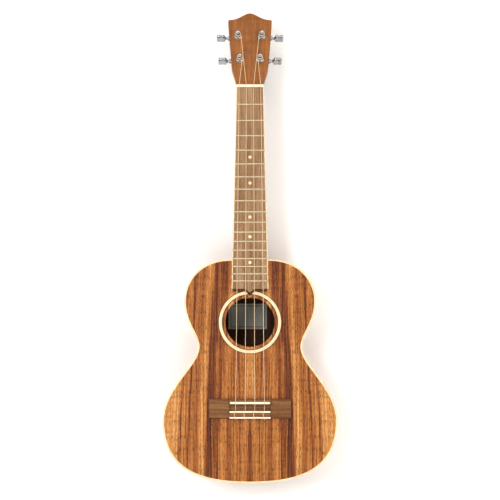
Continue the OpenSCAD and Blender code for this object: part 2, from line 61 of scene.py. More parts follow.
def bezier(a: Flat, b: Flat, c: Flat, d: Flat, count: int) -> list[Flat]:
    """Points of a cubic curve, without its last one.

    Args:
        a: First end.
        b: Handle of the first end.
        c: Handle of the last end.
        d: Last end.
        count: How many points to give.

    Returns:
        The points, from a towards d.
    """
    points = []
    for i in range(count):
        t = i / count
        u = 1 - t
        weights = (u * u * u, 3 * u * u * t, 3 * u * t * t, t * t * t)
        points.append(tuple(sum(w * p[k] for w, p in zip(weights, (a, b, c, d))) for k in (0, 1)))
    return points


def closed_by_mirror(side: Sequence[Flat]) -> list[Flat]:
    """A closed outline from its right half, whose ends lie on the centre line or face each other.

    Args:
        side: The right half, from one end to the other.

    Returns:
        The right half followed by its mirror image, with no point twice.
    """
    left = [(-x, y) for x, y in reversed(side) if abs(x) > 1e-6]
    return list(side) + left


def inset_loop(loop: Sequence[Flat], distance: float) -> list[Flat]:
    """The closed outline moved inwards.

    Args:
        loop: The outline, either way round.
        distance: How far in, in millimetres; negative moves it outwards.

    Returns:
        As many points as the outline has.
    """
    count = len(loop)
    pairs = zip(loop, [*loop[1:], loop[0]])
    area = sum(x * v - u * y for (x, y), (u, v) in pairs)
    turn = distance if area > 0 else -distance
    moved = []
    for i, (x, y) in enumerate(loop):
        before, after = loop[i - 1], loop[(i + 1) % count]
        dx, dy = after[0] - before[0], after[1] - before[1]
        length = math.hypot(dx, dy) or 1.0
        moved.append((x - turn * dy / length, y + turn * dx / length))
    return moved


def at_height(loop: Sequence[Flat], z: float) -> Ring:
    """The outline as a ring of points at one height."""
    return [(x, y, z) for x, y in loop]


def circle(radius: float, count: int, centre: Flat = (0.0, 0.0)) -> list[Flat]:
    """Points round a circle, anticlockwise.

    Args:
        radius: Its radius.
        count: How many points.
        centre: Its centre.

    Returns:
        The points.
    """
    angles = [math.tau * i / count for i in range(count)]
    return [(centre[0] + radius * math.cos(a), centre[1] + radius * math.sin(a)) for a in angles]


def rounded_box(low: Flat, high: Flat, radius: float, steps: int = 6) -> list[Flat]:
    """The outline of a rectangle with round corners, anticlockwise.

    Args:
        low: Its lowest corner.
        high: Its highest corner.
        radius: Radius of the corners.
        steps: Points along each corner.

    Returns:
        The outline's points.
    """
    corners = (
        (high[0] - radius, high[1] - radius, 0), (low[0] + radius, high[1] - radius, 90),
        (low[0] + radius, low[1] + radius, 180), (high[0] - radius, low[1] + radius, 270),
    )
    points = []
    for x, y, start in corners:
        for i in range(steps):
            angle = math.radians(start + 90 * i / (steps - 1))
            points.append((x + radius * math.cos(angle), y + radius * math.sin(angle)))
    return points


def quarter_round(radius: float, steps: int = 5) -> list[Flat]:
    """How far an edge of that radius lies in and below its corner, from the wall to the top."""
    angles = [math.radians(90 * i / steps) for i in range(steps + 1)]
    return [(radius * (1 - math.cos(a)), radius * (1 - math.sin(a))) for a in angles]


class Skin:
    """Vertices and faces that grow ring by ring, and end as one mesh."""

    def __init__(self) -> None:
        """Starts with nothing."""
        self.points: list[Point] = []
        self.faces: list[tuple[int, ...]] = []
        self.grain: list[Point] = []

    def add(
        self, rings: Sequence[Ring], caps: bool = True, wrap: bool = False,
        grain: Sequence[Ring] | None = None,
    ) -> "Skin":
        """Adds a surface through closed rings that all have the same number of points.

        Args:
            rings: The rings in order.
            caps: Whether the first and last ring are closed with a face.
            wrap: Whether the last ring joins the first, as on a hoop.
            grain: The grain coordinates of the same points.

        Returns:
            This skin.
        """
        start, width, count = len(self.points), len(rings[0]), len(rings)
        for ring in rings:
            self.points += ring
        for ring in grain if grain is not None else rings:
            self.grain += ring
        for k in range(count if wrap else count - 1):
            low, high = start + k * width, start + (k + 1) % count * width
            for i in range(width):
                j = (i + 1) % width
                self.faces.append((low + i, low + j, high + j, high + i))
        if caps and not wrap:
            self.faces.append(tuple(start + i for i in reversed(range(width))))
            self.faces.append(tuple(start + (count - 1) * width + i for i in range(width)))
        return self

    def build(self, name: str, place: Matrix | None = None, crease: float = CREASE) -> bpy.types.Object:
        """Makes the object.

        Args:
            name: Name of the piece.
            place: Where its points go, in millimetres; as they are if left out.
            crease: Edges sharper than this angle in degrees stay sharp.

        Returns:
            The new object, in metres and in the scene.
        """
        mesh = bpy.data.meshes.new(name)
        put = place if place is not None else Matrix.Identity(4)
        mesh.from_pydata([(put @ Vector(p)) * MM for p in self.points], [], self.faces)
        attribute = mesh.attributes.new("grain", "FLOAT_VECTOR", "POINT")
        attribute.data.foreach_set("vector", [v * MM for p in self.grain for v in p])
        work = bmesh.new()
        work.from_mesh(mesh)
        bmesh.ops.remove_doubles(work, verts=work.verts, dist=1e-7)
        bmesh.ops.dissolve_degenerate(work, edges=work.edges, dist=1e-7)
        bmesh.ops.recalc_face_normals(work, faces=work.faces)
        work.to_mesh(mesh)
        work.free()
        mesh.shade_smooth()
        mesh.set_sharp_from_angle(angle=math.radians(crease))
        piece = bpy.data.objects.new(name, mesh)
        bpy.context.scene.collection.objects.link(piece)
        return piece


def lathe(profile: Sequence[Flat], count: int = 48, centre: Flat = (0.0, 0.0)) -> list[Ring]:
    """Rings of a turned shape.

    Args:
        profile: Radius and height of each ring.
        count: Points round a ring.
        centre: The axis in the plane.

    Returns:
        One ring for each point of the profile.
    """
    return [at_height(circle(max(r, 1e-4), count, centre), z) for r, z in profile]


def smooth_path(points: Sequence[Vector], steps: int) -> list[Vector]:
    """A smooth line through points, for a string that bends without kinks.

    Args:
        points: The points it passes through.
        steps: Pieces between two of them; long straight ones get one.

    Returns:
        The denser line.
    """
    line = []
    for i in range(len(points) - 1):
        a, b = points[i], points[i + 1]
        before, after = points[max(i - 1, 0)], points[min(i + 2, len(points) - 1)]
        gap = (b - a).length
        into = (b - before).normalized() * gap * 0.35 if i else Vector()
        out = (after - a).normalized() * gap * 0.35
        parts = 1 if gap > 60 else steps
        for k in range(parts):
            t = k / parts
            u = 1 - t
            line.append(u**3 * a + 3 * u * u * t * (a + into) + 3 * u * t * t * (b - out) + t**3 * b)
    return line + [points[-1]]


def tube(path: Sequence[Vector], radius: float, count: int = 12) -> list[Ring]:
    """Rings of a round line of constant thickness with rounded ends.

    Args:
        path: The centre line.
        radius: Its radius.
        count: Points round it.

    Returns:
        The rings.
    """
    side = Vector((1, 0, 0))
    rings = []
    last = len(path) - 1
    for i, point in enumerate(path):
        heading = (path[min(i + 1, last)] - path[max(i - 1, 0)]).normalized()
        side = (side - side.dot(heading) * heading).normalized()
        up = heading.cross(side)
        size = radius * (0.55 if i in (0, last) else 1.0)
        angles = [math.tau * k / count for k in range(count)]
        rings.append([tuple(point + size * (math.cos(a) * side + math.sin(a) * up)) for a in angles])
    return rings


class Carving(Enum):
    """What a second closed shape does to a piece."""

    CUT = "DIFFERENCE"
    MERGE = "UNION"


def carve(piece: bpy.types.Object, other: bpy.types.Object, how: Carving) -> None:
    """Cuts another closed shape out of the piece or merges it in, and removes the other.

    Args:
        piece: The piece that stays.
        other: The shape that is used up.
        how: Whether it is cut out or merged.
    """
    modifier = piece.modifiers.new("carve", "BOOLEAN")
    modifier.object = other
    modifier.operation = how.value
    modifier.solver = "EXACT"
    bpy.context.view_layer.update()
    mesh = bpy.data.meshes.new_from_object(piece.evaluated_get(bpy.context.evaluated_depsgraph_get()))
    piece.modifiers.clear()
    piece.data = mesh
    mesh.set_sharp_from_angle(angle=math.radians(CREASE))
    bpy.data.objects.remove(other)


def moved(rings: Sequence[Ring], place: Matrix) -> list[Ring]:
    """The rings after a change of place."""
    return [[tuple(place @ Vector(p)) for p in ring] for ring in rings]


# ---------------------------------------------------------------- finishes


def linear(code: str) -> tuple[float, float, float, float]:
    """A colour written in sRGB hex, as the linear values that shaders take."""
    parts = [int(code[i : i + 2], 16) / 255 for i in (1, 3, 5)]
    return (*(c / 12.92 if c <= 0.04045 else ((c + 0.055) / 1.055) ** 2.4 for c in parts), 1.0)


def add(
    tree: bpy.types.NodeTree, kind: str, inputs: dict | None = None, **settings: object
) -> bpy.types.Node:
    """Adds a node with its settings and links.

    Args:
        tree: The node tree.
        kind: The node's type, without its common prefix.
        inputs: For each input, by name or number, a socket to link or a value to set.
        settings: The node's own settings.

    Returns:
        The node.
    """
    node = tree.nodes.new(f"ShaderNode{kind}")
    for key, value in settings.items():
        setattr(node, key, value)
    for key, value in (inputs or {}).items():
        if isinstance(value, bpy.types.NodeSocket):
            tree.links.new(value, node.inputs[key])
        else:
            node.inputs[key].default_value = value
    return node


def set_stops(ramp: bpy.types.ColorRamp, stops: Sequence[tuple[float, object]]) -> None:
    """Gives a ramp its stops.

    Args:
        ramp: The ramp.
        stops: The place of each stop, with its grey value or its hex colour.
    """
    while len(ramp.elements) > 1:
        ramp.elements.remove(ramp.elements[-1])
    for i, (place, value) in enumerate(stops):
        element = ramp.elements[0] if i == 0 else ramp.elements.new(place)
        element.position = place
        element.color = linear(value) if isinstance(value, str) else (value, value, value, 1.0)


def blank_material(name: str) -> bpy.types.Material:
    """A new material whose node tree is empty.

    Args:
        name: Its name.

    Returns:
        The material.
    """
    material = bpy.data.materials.new(name)
    material.use_nodes = True
    material.node_tree.nodes.clear()
    return material


class Grain(Enum):
    """Which way the fibres of a wooden piece run."""

    ALONG_BODY = "along the body"
    ACROSS_BODY = "across the body"
    UPRIGHT = "from the back to the soundboard"
    BENT = "round the bent sides"


@dataclass(frozen=True)
class Wood:
    """A wooden finish with streaks, fine lines, pores and a coat of lacquer or oil.

    Attributes:
        name: The finish's name.
        tones: Places and hex colours from the darkest late wood to the lightest.
        streak_mm: Width of the broad streaks.
        line_mm: Width of the finer growth lines.
        pore_mm: Width of a pore; the real ones are finer, drawn so that they show.
        streaks: How strongly the broad streaks show.
        lines: How strongly the growth lines show.
        pores: How dark the pores are.
        figure: How strong the silky cross bands are, the wood's figure with its sheen painted into the
            colour.
        roughness: Roughness of the bare surface.
        coat: Weight of the lacquer.
        coat_roughness: Roughness of the lacquer.
        bands: Place from the joint in millimetres and tone of listed streaks on book-matched boards.
        lean: How much those streaks lean towards the joint, per millimetre of length.
        lean_from: Place along the body from which they lean.
        sway: How far the fibres wander to the side, in millimetres.
        matched: Whether the two halves mirror each other about the joint.
    """

    name: str
    tones: tuple[tuple[float, str], ...]
    streak_mm: float = 9.0
    line_mm: float = 1.6
    pore_mm: float = 0.35
    streaks: float = 1.0
    lines: float = 0.45
    pores: float = 0.35
    figure: float = 0.08
    roughness: float = 0.42
    coat: float = 0.3
    coat_roughness: float = 0.22
    bands: tuple[tuple[float, float], ...] = ()
    lean: float = 0.0
    lean_from: float = 0.0
    sway: float = 12.0
    matched: bool = False

    def make(self, grain: Grain, shift: float = 0.0) -> bpy.types.Material:
        """Builds the material.

        Args:
            grain: Which way the fibres run.
            shift: Millimetres by which the pattern is moved, so that two boards differ.

        Returns:
            The material.
        """
        material = blank_material(f"{self.name}_{grain.name.lower()}")
        tree = material.node_tree
        if grain is Grain.BENT:
            source = add(tree, "Attribute", attribute_name="grain").outputs["Vector"]
        else:
            source = add(tree, "TexCoord").outputs["Object"]
        sized = add(tree, "VectorMath", {0: source, 1: (1 / MM, 1 / MM, 1 / MM)}, operation="MULTIPLY")
        axes = add(tree, "SeparateXYZ", {0: sized.outputs[0]})
        order = {Grain.ACROSS_BODY: "YXZ", Grain.UPRIGHT: "XZY"}.get(grain, "XYZ")
        across, along, deep = (axes.outputs[axis] for axis in order)
        wander = add(tree, "CombineXYZ", {
            0: add(tree, "Math", {0: across, 1: 1 / 70}, operation="MULTIPLY").outputs[0],
            1: add(tree, "Math", {0: along, 1: 1 / 95}, operation="MULTIPLY").outputs[0],
            2: shift + 3.1,
        })
        drift = add(tree, "TexNoise", {"Vector": wander.outputs[0], "Scale": 1.0, "Detail": 2.0})
        sway = add(tree, "Math", {0: drift.outputs[0], 1: 0.5}, operation="SUBTRACT")
        sway = add(tree, "Math", {0: sway.outputs[0], 1: self.sway}, operation="MULTIPLY")
        if self.matched:
            across = add(tree, "Math", {0: across}, operation="ABSOLUTE").outputs[0]
        bent = add(tree, "Math", {0: across, 1: sway.outputs[0]}, operation="ADD").outputs[0]

        def streaky(width: float, length: float, detail: float, seed: float) -> bpy.types.NodeSocket:
            """Noise drawn out along the fibres.

            Args:
                width: Size across the fibres in millimetres.
                length: Size along them.
                detail: Octaves of the noise.
                seed: Moves the pattern.

            Returns:
                The noise, from 0 to 1.
            """
            stretched = add(tree, "CombineXYZ", {
                0: add(tree, "Math", {0: bent, 1: 1 / width}, operation="MULTIPLY").outputs[0],
                1: add(tree, "Math", {0: along, 1: 1 / length}, operation="MULTIPLY").outputs[0],
                2: add(tree, "Math", {0: deep, 1: 1 / (3 * width), 2: seed + shift},
                       operation="MULTIPLY_ADD").outputs[0],
            })
            noise = add(tree, "TexNoise", {
                "Vector": stretched.outputs[0], "Scale": 1.0, "Detail": detail, "Roughness": 0.55})
            return noise.outputs[0]

        broad = streaky(self.streak_mm, 30 * self.streak_mm, 2.0, 0.0)
        if self.bands:
            ahead = add(tree, "Math", {0: along, 1: self.lean_from}, operation="SUBTRACT").outputs[0]
            leaned = add(tree, "Math", {0: ahead, 1: self.lean, 2: bent}, operation="MULTIPLY_ADD")
            reach = self.bands[-1][0]
            place = add(tree, "Math", {0: leaned.outputs[0], 1: 1 / reach}, operation="MULTIPLY")
            chart = add(tree, "ValToRGB", {0: place.outputs[0]})
            chart.color_ramp.interpolation = "EASE"
            set_stops(chart.color_ramp, [(at / reach, tone) for at, tone in self.bands])
            broad = add(tree, "Mix", {0: 0.22, 2: chart.outputs[0], 3: broad}).outputs[0]
        middle = streaky(self.line_mm, 70 * self.line_mm, 3.0, 7.7)
        fine = streaky(self.line_mm / 3.2, 25 * self.line_mm, 2.0, 13.3)
        tone = add(tree, "Math", {0: broad, 1: self.streaks, 2: 0.5 - 0.5 * self.streaks},
                   operation="MULTIPLY_ADD")
        for noise, weight in ((middle, self.lines * 1.4), (fine, self.lines * 0.9)):
            centred = add(tree, "Math", {0: noise, 1: 0.5}, operation="SUBTRACT")
            tone = add(tree, "Math", {0: centred.outputs[0], 1: weight, 2: tone.outputs[0]},
                       operation="MULTIPLY_ADD")
        colours = add(tree, "ValToRGB", {0: tone.outputs[0]})
        set_stops(colours.color_ramp, self.tones)

        # Silky bands across the grain: the wavy fibres of the figure, with the sheen they give under lacquer
        # painted into the colour
        silk = add(tree, "CombineXYZ", {
            0: add(tree, "Math", {0: across, 1: 1 / 26}, operation="MULTIPLY").outputs[0],
            1: add(tree, "Math", {0: along, 1: 1 / 7}, operation="MULTIPLY").outputs[0], 2: shift})
        ripple = add(tree, "TexNoise", {"Vector": silk.outputs[0], "Scale": 1.0, "Detail": 3.0})
        painted_sheen = add(tree, "MapRange", {
            0: ripple.outputs[0], 1: 0.3, 2: 0.7, 3: 1 - self.figure, 4: 1 + self.figure})

        # Open pores, short dark dashes along the grain
        dashes = streaky(self.pore_mm, 6 * self.pore_mm, 2.0, 21.0)
        pore = add(tree, "MapRange", {0: dashes, 1: 0.34, 2: 0.5, 3: 1.0, 4: 0.0})
        dark = add(tree, "Math", {0: pore.outputs[0], 1: -self.pores, 2: painted_sheen.outputs[0]},
                   operation="MULTIPLY_ADD")
        shaded = add(tree, "VectorMath", {0: colours.outputs[0]}, operation="SCALE")
        tree.links.new(dark.outputs[0], shaded.inputs["Scale"])

        gloss = add(tree, "Math", {0: pore.outputs[0], 1: 0.2, 2: self.roughness},
                    operation="MULTIPLY_ADD")
        relief = add(tree, "Math", {0: pore.outputs[0], 1: -1.0, 2: fine}, operation="MULTIPLY_ADD")
        bump = add(tree, "Bump", {"Height": relief.outputs[0], "Strength": 0.25, "Distance": 0.05 * MM})
        shader = add(tree, "BsdfPrincipled", {
            "Base Color": shaded.outputs[0], "Roughness": gloss.outputs[0], "Normal": bump.outputs[0],
            "IOR": 1.5, "Specular IOR Level": 0.22, "Coat Weight": self.coat,
            "Coat Roughness": self.coat_roughness})
        add(tree, "OutputMaterial", {"Surface": shader.outputs[0]})
        return material


@dataclass(frozen=True)
class Plastic:
    """A smooth man-made finish: moulded, cast or drawn, with faint clouding and polish marks.

    Attributes:
        name: The finish's name.
        light: Hex colour of the clear parts.
        shade: Hex colour of the clouded parts.
        cloud_mm: Size of the clouds.
        roughness: Its roughness.
        ior: Its refractive index.
        glow: Weight of the light that scatters under the surface.
        metallic: 1 for a metal.
        wave: How much the polish varies the roughness.
    """

    name: str
    light: str
    shade: str
    cloud_mm: float = 6.0
    roughness: float = 0.25
    ior: float = 1.5
    glow: float = 0.0
    metallic: float = 0.0
    wave: float = 0.08

    def make(self) -> bpy.types.Material:
        """Builds the material.

        Returns:
            The material.
        """
        material = blank_material(self.name)
        tree = material.node_tree
        place = add(tree, "TexCoord").outputs["Object"]
        clouds = add(tree, "TexNoise", {
            "Vector": place, "Scale": 1 / (self.cloud_mm * MM), "Detail": 3.0})
        colours = add(tree, "ValToRGB", {0: clouds.outputs[0]})
        set_stops(colours.color_ramp, [(0.35, self.shade), (0.62, self.light)])
        marks = add(tree, "TexNoise", {"Vector": place, "Scale": 1 / (0.8 * MM), "Detail": 4.0})
        gloss = add(tree, "MapRange", {
            0: marks.outputs[0], 1: 0.3, 2: 0.7, 3: max(self.roughness - self.wave, 0.02),
            4: self.roughness + self.wave})
        bump = add(tree, "Bump", {"Height": marks.outputs[0], "Strength": 0.06, "Distance": 0.02 * MM})
        settings = {
            "Base Color": colours.outputs[0], "Roughness": gloss.outputs[0], "Normal": bump.outputs[0],
            "Metallic": self.metallic}
        if self.metallic < 0.5:
            settings["IOR"] = self.ior
        if self.glow:
            settings["Subsurface Weight"] = self.glow
            settings["Subsurface Radius"] = (1.0, 0.8, 0.6)
            settings["Subsurface Scale"] = 0.8 * MM
        shader = add(tree, "BsdfPrincipled", settings)
        add(tree, "OutputMaterial", {"Surface": shader.outputs[0]})
        return material


@dataclass(frozen=True)
class Paper:
    """Uncoated paper with a printed border line and no print inside it.

    Attributes:
        low: Lowest corner of the sheet in millimetres.
        high: Its highest corner.
        margin: Distance of the border line from the edge.
        line: Width of the border line.
    """

    low: Point
    high: Point
    margin: float = 3.2
    line: float = 0.9

    def make(self) -> bpy.types.Material:
        """Builds the material.

        Returns:
            The material.
        """
        material = blank_material("uncoated_label_paper")
        tree = material.node_tree
        place = add(tree, "TexCoord").outputs["Object"]
        sized = add(tree, "VectorMath", {0: place, 1: (1 / MM, 1 / MM, 1 / MM)}, operation="MULTIPLY")
        axes = add(tree, "SeparateXYZ", {0: sized.outputs[0]})
        edges = []
        for axis in (0, 1):
            middle = (self.low[axis] + self.high[axis]) / 2
            half = (self.high[axis] - self.low[axis]) / 2 - self.margin
            away = add(tree, "Math", {0: axes.outputs[axis], 1: middle}, operation="SUBTRACT")
            away = add(tree, "Math", {0: away.outputs[0]}, operation="ABSOLUTE")
            edges.append(add(tree, "Math", {0: away.outputs[0], 1: half}, operation="SUBTRACT").outputs[0])
        outer = add(tree, "Math", {0: edges[0], 1: edges[1]}, operation="MAXIMUM")
        near = add(tree, "Math", {0: outer.outputs[0], 1: 0.0, 2: self.line / 2}, operation="COMPARE")
        fibres = add(tree, "TexNoise", {"Vector": place, "Scale": 1 / (0.9 * MM), "Detail": 5.0})
        sheet = add(tree, "ValToRGB", {0: fibres.outputs[0]})
        # Painted shade: the sheet's tones are set dark for the dim inside of the box
        set_stops(sheet.color_ramp, [(0.3, "#8f8c82"), (0.7, "#a9a69c")])
        colour = add(tree, "Mix", {0: near.outputs[0], 6: sheet.outputs[0], 7: linear("#4b463e")},
                     data_type="RGBA")
        bump = add(tree, "Bump", {"Height": fibres.outputs[0], "Strength": 0.3, "Distance": 0.03 * MM})
        shader = add(tree, "BsdfPrincipled", {
            "Base Color": colour.outputs[2], "Roughness": 0.85, "Normal": bump.outputs[0], "IOR": 1.45})
        add(tree, "OutputMaterial", {"Surface": shader.outputs[0]})
        return material


class Finishes:
    """Every finish of the instrument, made once."""

    def __init__(self) -> None:
        """Makes the materials."""
        # Acacia, book-matched and lacquered satin: bold dark heartwood streaks between honey sapwood
        acacia_tones = (
            (0.12, "#2c0f00"), (0.27, "#5a2605"), (0.39, "#7d3f12"), (0.52, "#a05f28"), (0.67, "#bb7b3d"),
            (0.88, "#d8a163"))
        acacia_bands = (
            (0.0, 0.3), (1.2, 0.58), (8, 0.64), (11, 0.44), (16, 0.52), (21, 0.4), (27, 0.46), (31, 0.6),
            (34, 0.66), (38, 0.48), (41, 0.28), (46, 0.36), (52, 0.24), (57, 0.26), (60, 0.6), (64, 0.76),
            (68, 0.58), (72, 0.34), (76, 0.54), (80, 0.5), (81.5, 0.24), (84, 0.52), (90, 0.58), (93, 0.34),
            (97, 0.66), (104, 0.82), (112, 0.8), (120, 0.78))
        top = Wood("lacquered_acacia_top", acacia_tones, bands=acacia_bands, lean=0.045, lean_from=-244.0,
                   streak_mm=5.0, line_mm=1.4, matched=True, figure=0.14, lines=0.6, streaks=0.95,
                   pore_mm=0.9, pores=0.62, coat=0.03, roughness=0.5, sway=6.0)
        self.acacia_top = top.make(Grain.ALONG_BODY)
        plain = Wood("lacquered_acacia", acacia_tones, streak_mm=8.0, line_mm=2.4, matched=True, lines=1.0,
                     streaks=1.2, pore_mm=0.9, pores=0.45, coat=0.15)
        self.acacia_back = plain.make(Grain.ALONG_BODY, 40.0)
        bent = Wood("bent_acacia", acacia_tones, streak_mm=7.0, line_mm=2.4, lines=1.0, streaks=1.2,
                    pore_mm=0.9, pores=0.45, coat=0.15)
        self.acacia_side = bent.make(Grain.BENT, 11.0)
        # The same acacia inside the box, sanded but never lacquered and dull; its near-black tones are
        # painted shade for the dim inside of the box
        inside_shade_tones = ((0.2, "#1f0f07"), (0.5, "#361e10"), (0.8, "#4f321d"))
        raw = Wood("bare_acacia_painted_shade", inside_shade_tones, streak_mm=8.0, matched=True, coat=0.0, roughness=0.8)
        self.acacia_inside_painted_shade = raw.make(Grain.ALONG_BODY, 40.0)
        # Okoume or mahogany neck, stained red brown and sealed satin: even colour, short open pores
        neck_tones = ((0.2, "#592e05"), (0.42, "#80460d"), (0.6, "#995914"), (0.8, "#b07124"))
        neck = Wood("sealed_mahogany", neck_tones, streak_mm=14.0, line_mm=2.2, streaks=0.6, lines=0.28,
                    pores=0.22, figure=0.06, coat=0.2)
        self.mahogany = neck.make(Grain.ALONG_BODY, 5.0)
        # Headstock veneer of the same wood, where the lacquer brings out cloudy cross figure, its sheen
        # painted into the colour
        veneer = Wood("lacquered_veneer", neck_tones, streak_mm=13.0, line_mm=2.4, streaks=0.65, lines=0.35,
                      pores=0.25, figure=0.13, coat=0.22, coat_roughness=0.18)
        self.veneer = veneer.make(Grain.ALONG_BODY, 17.0)
        # The same wood as blocks inside the box, sawn and left bare: dull
        sawn = Wood("sawn_mahogany", neck_tones, streak_mm=12.0, coat=0.0, roughness=0.7)
        self.block = sawn.make(Grain.UPRIGHT, 9.0)
        # Walnut fretboard, planed and oiled: pale grey-brown with dark pores and thin streaks
        board_tones = ((0.16, "#5e4026"), (0.36, "#805e40"), (0.55, "#997655"), (0.8, "#b1916e"))
        board = Wood("oiled_walnut", board_tones, streak_mm=5.0, line_mm=1.3, streaks=0.8, lines=0.4,
                     pores=0.4, figure=0.05, roughness=0.55, coat=0.0)
        self.fretboard = board.make(Grain.ALONG_BODY, 23.0)
        # Walnut bridge from a darker board, oiled: brown with streaks that run across the body
        bridge_tones = ((0.16, "#442915"), (0.38, "#643d20"), (0.6, "#7b512c"), (0.85, "#93693f"))
        bridge = Wood("oiled_walnut_bridge", bridge_tones, streak_mm=4.0, line_mm=1.2, streaks=0.8,
                      lines=0.45, pores=0.4, figure=0.04, roughness=0.55, coat=0.0)
        self.bridge = bridge.make(Grain.ACROSS_BODY, 29.0)
        # End grain of the fretboard, which drinks more oil and turns darker; its much darker tones are also
        # painted shade for the end that faces the tail
        end_and_shade_tones = ((0.2, "#38230f"), (0.5, "#573a22"), (0.8, "#735235"))
        end_grain_and_painted_shade = Wood("oiled_walnut_end_grain", end_and_shade_tones, streak_mm=3.0, roughness=0.6, coat=0.0)
        self.end_grain_and_painted_shade = end_grain_and_painted_shade.make(Grain.UPRIGHT, 23.0)
        # Spruce struts and linings, sanded and left bare: pale with straight fine rings
        spruce_tones = ((0.2, "#b98d57"), (0.5, "#d8b683"), (0.8, "#ead0a3"))
        spruce = Wood("bare_spruce", spruce_tones, streak_mm=2.2, line_mm=0.8, coat=0.0, roughness=0.75,
                      pores=0.1)
        self.spruce_long = spruce.make(Grain.ALONG_BODY, 31.0)
        self.spruce_wide = spruce.make(Grain.ACROSS_BODY, 37.0)
        # Ivory-coloured ABS and cellulose, scraped flush and buffed: warm white with a soft glow
        self.ivory = Plastic("buffed_ivory_abs", "#ecd3aa", "#e0c497", 9.0, 0.3, 1.53, glow=0.1).make()
        # Bleached bone of nut, saddle and tie strips, sawn and polished: whiter, with faint clouds
        self.bone = Plastic("polished_bone", "#fbf0da", "#f0e0c2", 5.0, 0.28, 1.55, glow=0.08).make()
        # Vulcanised fibre line, dyed through and scraped flush: brown black, satin
        self.black_line = Plastic("black_fibre", "#2e221a", "#1a120d", 2.0, 0.45).make()
        # Clear-white nylon line, drawn smooth: waxy, with some light passing under its skin
        self.nylon = Plastic("drawn_nylon", "#e0c8a6", "#d4ba94", 12.0, 0.3, 1.53, glow=0.15).make()
        # Chromed zinc castings and brass: mirror bright with a breath of haze
        self.chrome = Plastic("chrome_plate", "#b0b3b6", "#9da1a5", 4.0, 0.06, metallic=1.0, wave=0.03).make()
        # Nickel silver fret wire, drawn and polished: warm pale metal
        self.nickel_silver = Plastic("nickel_silver", "#d0c2a6", "#bfb195", 5.0, 0.36, metallic=1.0).make()
        # Brass wheel, hobbed and left bright
        self.brass = Plastic("hobbed_brass", "#d9b463", "#c29a4a", 2.0, 0.3, metallic=1.0).make()


# ---------------------------------------------------------------- where things are


def box_mm(node: str) -> tuple[Vector, Vector]:
    """Lowest and highest corner of a plain part, in millimetres."""
    low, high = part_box(node)
    return Vector(low) / MM, Vector(high) / MM


@dataclass(frozen=True)
class Places:
    """Main positions of the instrument in millimetres, read from the plain parts.

    Attributes:
        tail_y: End of the body.
        shoulder_y: Where the neck meets the body.
        nut_y: Front of the nut.
        nut_back: Back of the nut.
        hole_y: Middle of the soundhole.
        saddle_y: Middle of the saddle.
        bridge_front: Edge of the bridge that faces the soundhole.
        bridge_rear: Its other edge.
        top_z: Top of the soundboard.
        board_z: Top of the fretboard.
        tilt: Backward tilt of the headstock in radians.
        scale: Length of the open strings.
        nut_half: Half width of the neck at the nut.
        flare: How much that half width grows per millimetre towards the body.
    """

    tail_y: float
    shoulder_y: float
    nut_y: float
    nut_back: float
    hole_y: float
    saddle_y: float
    bridge_front: float
    bridge_rear: float
    top_z: float
    board_z: float
    tilt: float = math.radians(12)
    scale: float = 432.0
    nut_half: float = 19.0
    flare: float = 6.0 / 280.0

    @staticmethod
    def read() -> "Places":
        """Reads them from the plain parts.

        Returns:
            The positions.
        """
        binding, nut, bridge = box_mm("top_binding"), box_mm("nut"), box_mm("bridge")
        ring, saddle = box_mm("rosette"), box_mm("saddle")
        return Places(
            tail_y=binding[0].y, shoulder_y=binding[1].y, nut_y=nut[0].y, nut_back=nut[1].y,
            hole_y=(ring[0].y + ring[1].y) / 2, saddle_y=(saddle[0].y + saddle[1].y) / 2,
            bridge_front=bridge[1].y, bridge_rear=bridge[0].y, top_z=binding[1].z,
            board_z=box_mm("fretboard")[1].z)

    def fret(self, number: int) -> float:
        """Distance of a fret from the nut."""
        return self.scale * (1 - 2 ** (-number / 12))

    def neck_half(self, distance: float) -> float:
        """Half width of the neck at a distance from the nut."""
        return self.nut_half + self.flare * distance

    def head(self) -> Matrix:
        """From the headstock's face, x across, y to the tip and z up, to the instrument."""
        return Matrix.Translation((0, self.nut_back, self.top_z + 2)) @ Matrix.Rotation(-self.tilt, 4, "X")


@dataclass(frozen=True)
class Tuner:
    """One tuner.

    Attributes:
        letter: The note of its string.
        side: 1 on the right, -1 on the left.
        x: Distance of its post from the centre line.
        s: Distance of its post along the headstock's face.
    """

    letter: str
    side: int
    x: float
    s: float


TUNERS = (Tuner("g", -1, 14.2, 40.5), Tuner("c", -1, 16.8, 77.3), Tuner("e", 1, 16.8, 77.3),
          Tuner("a", 1, 14.2, 40.5))


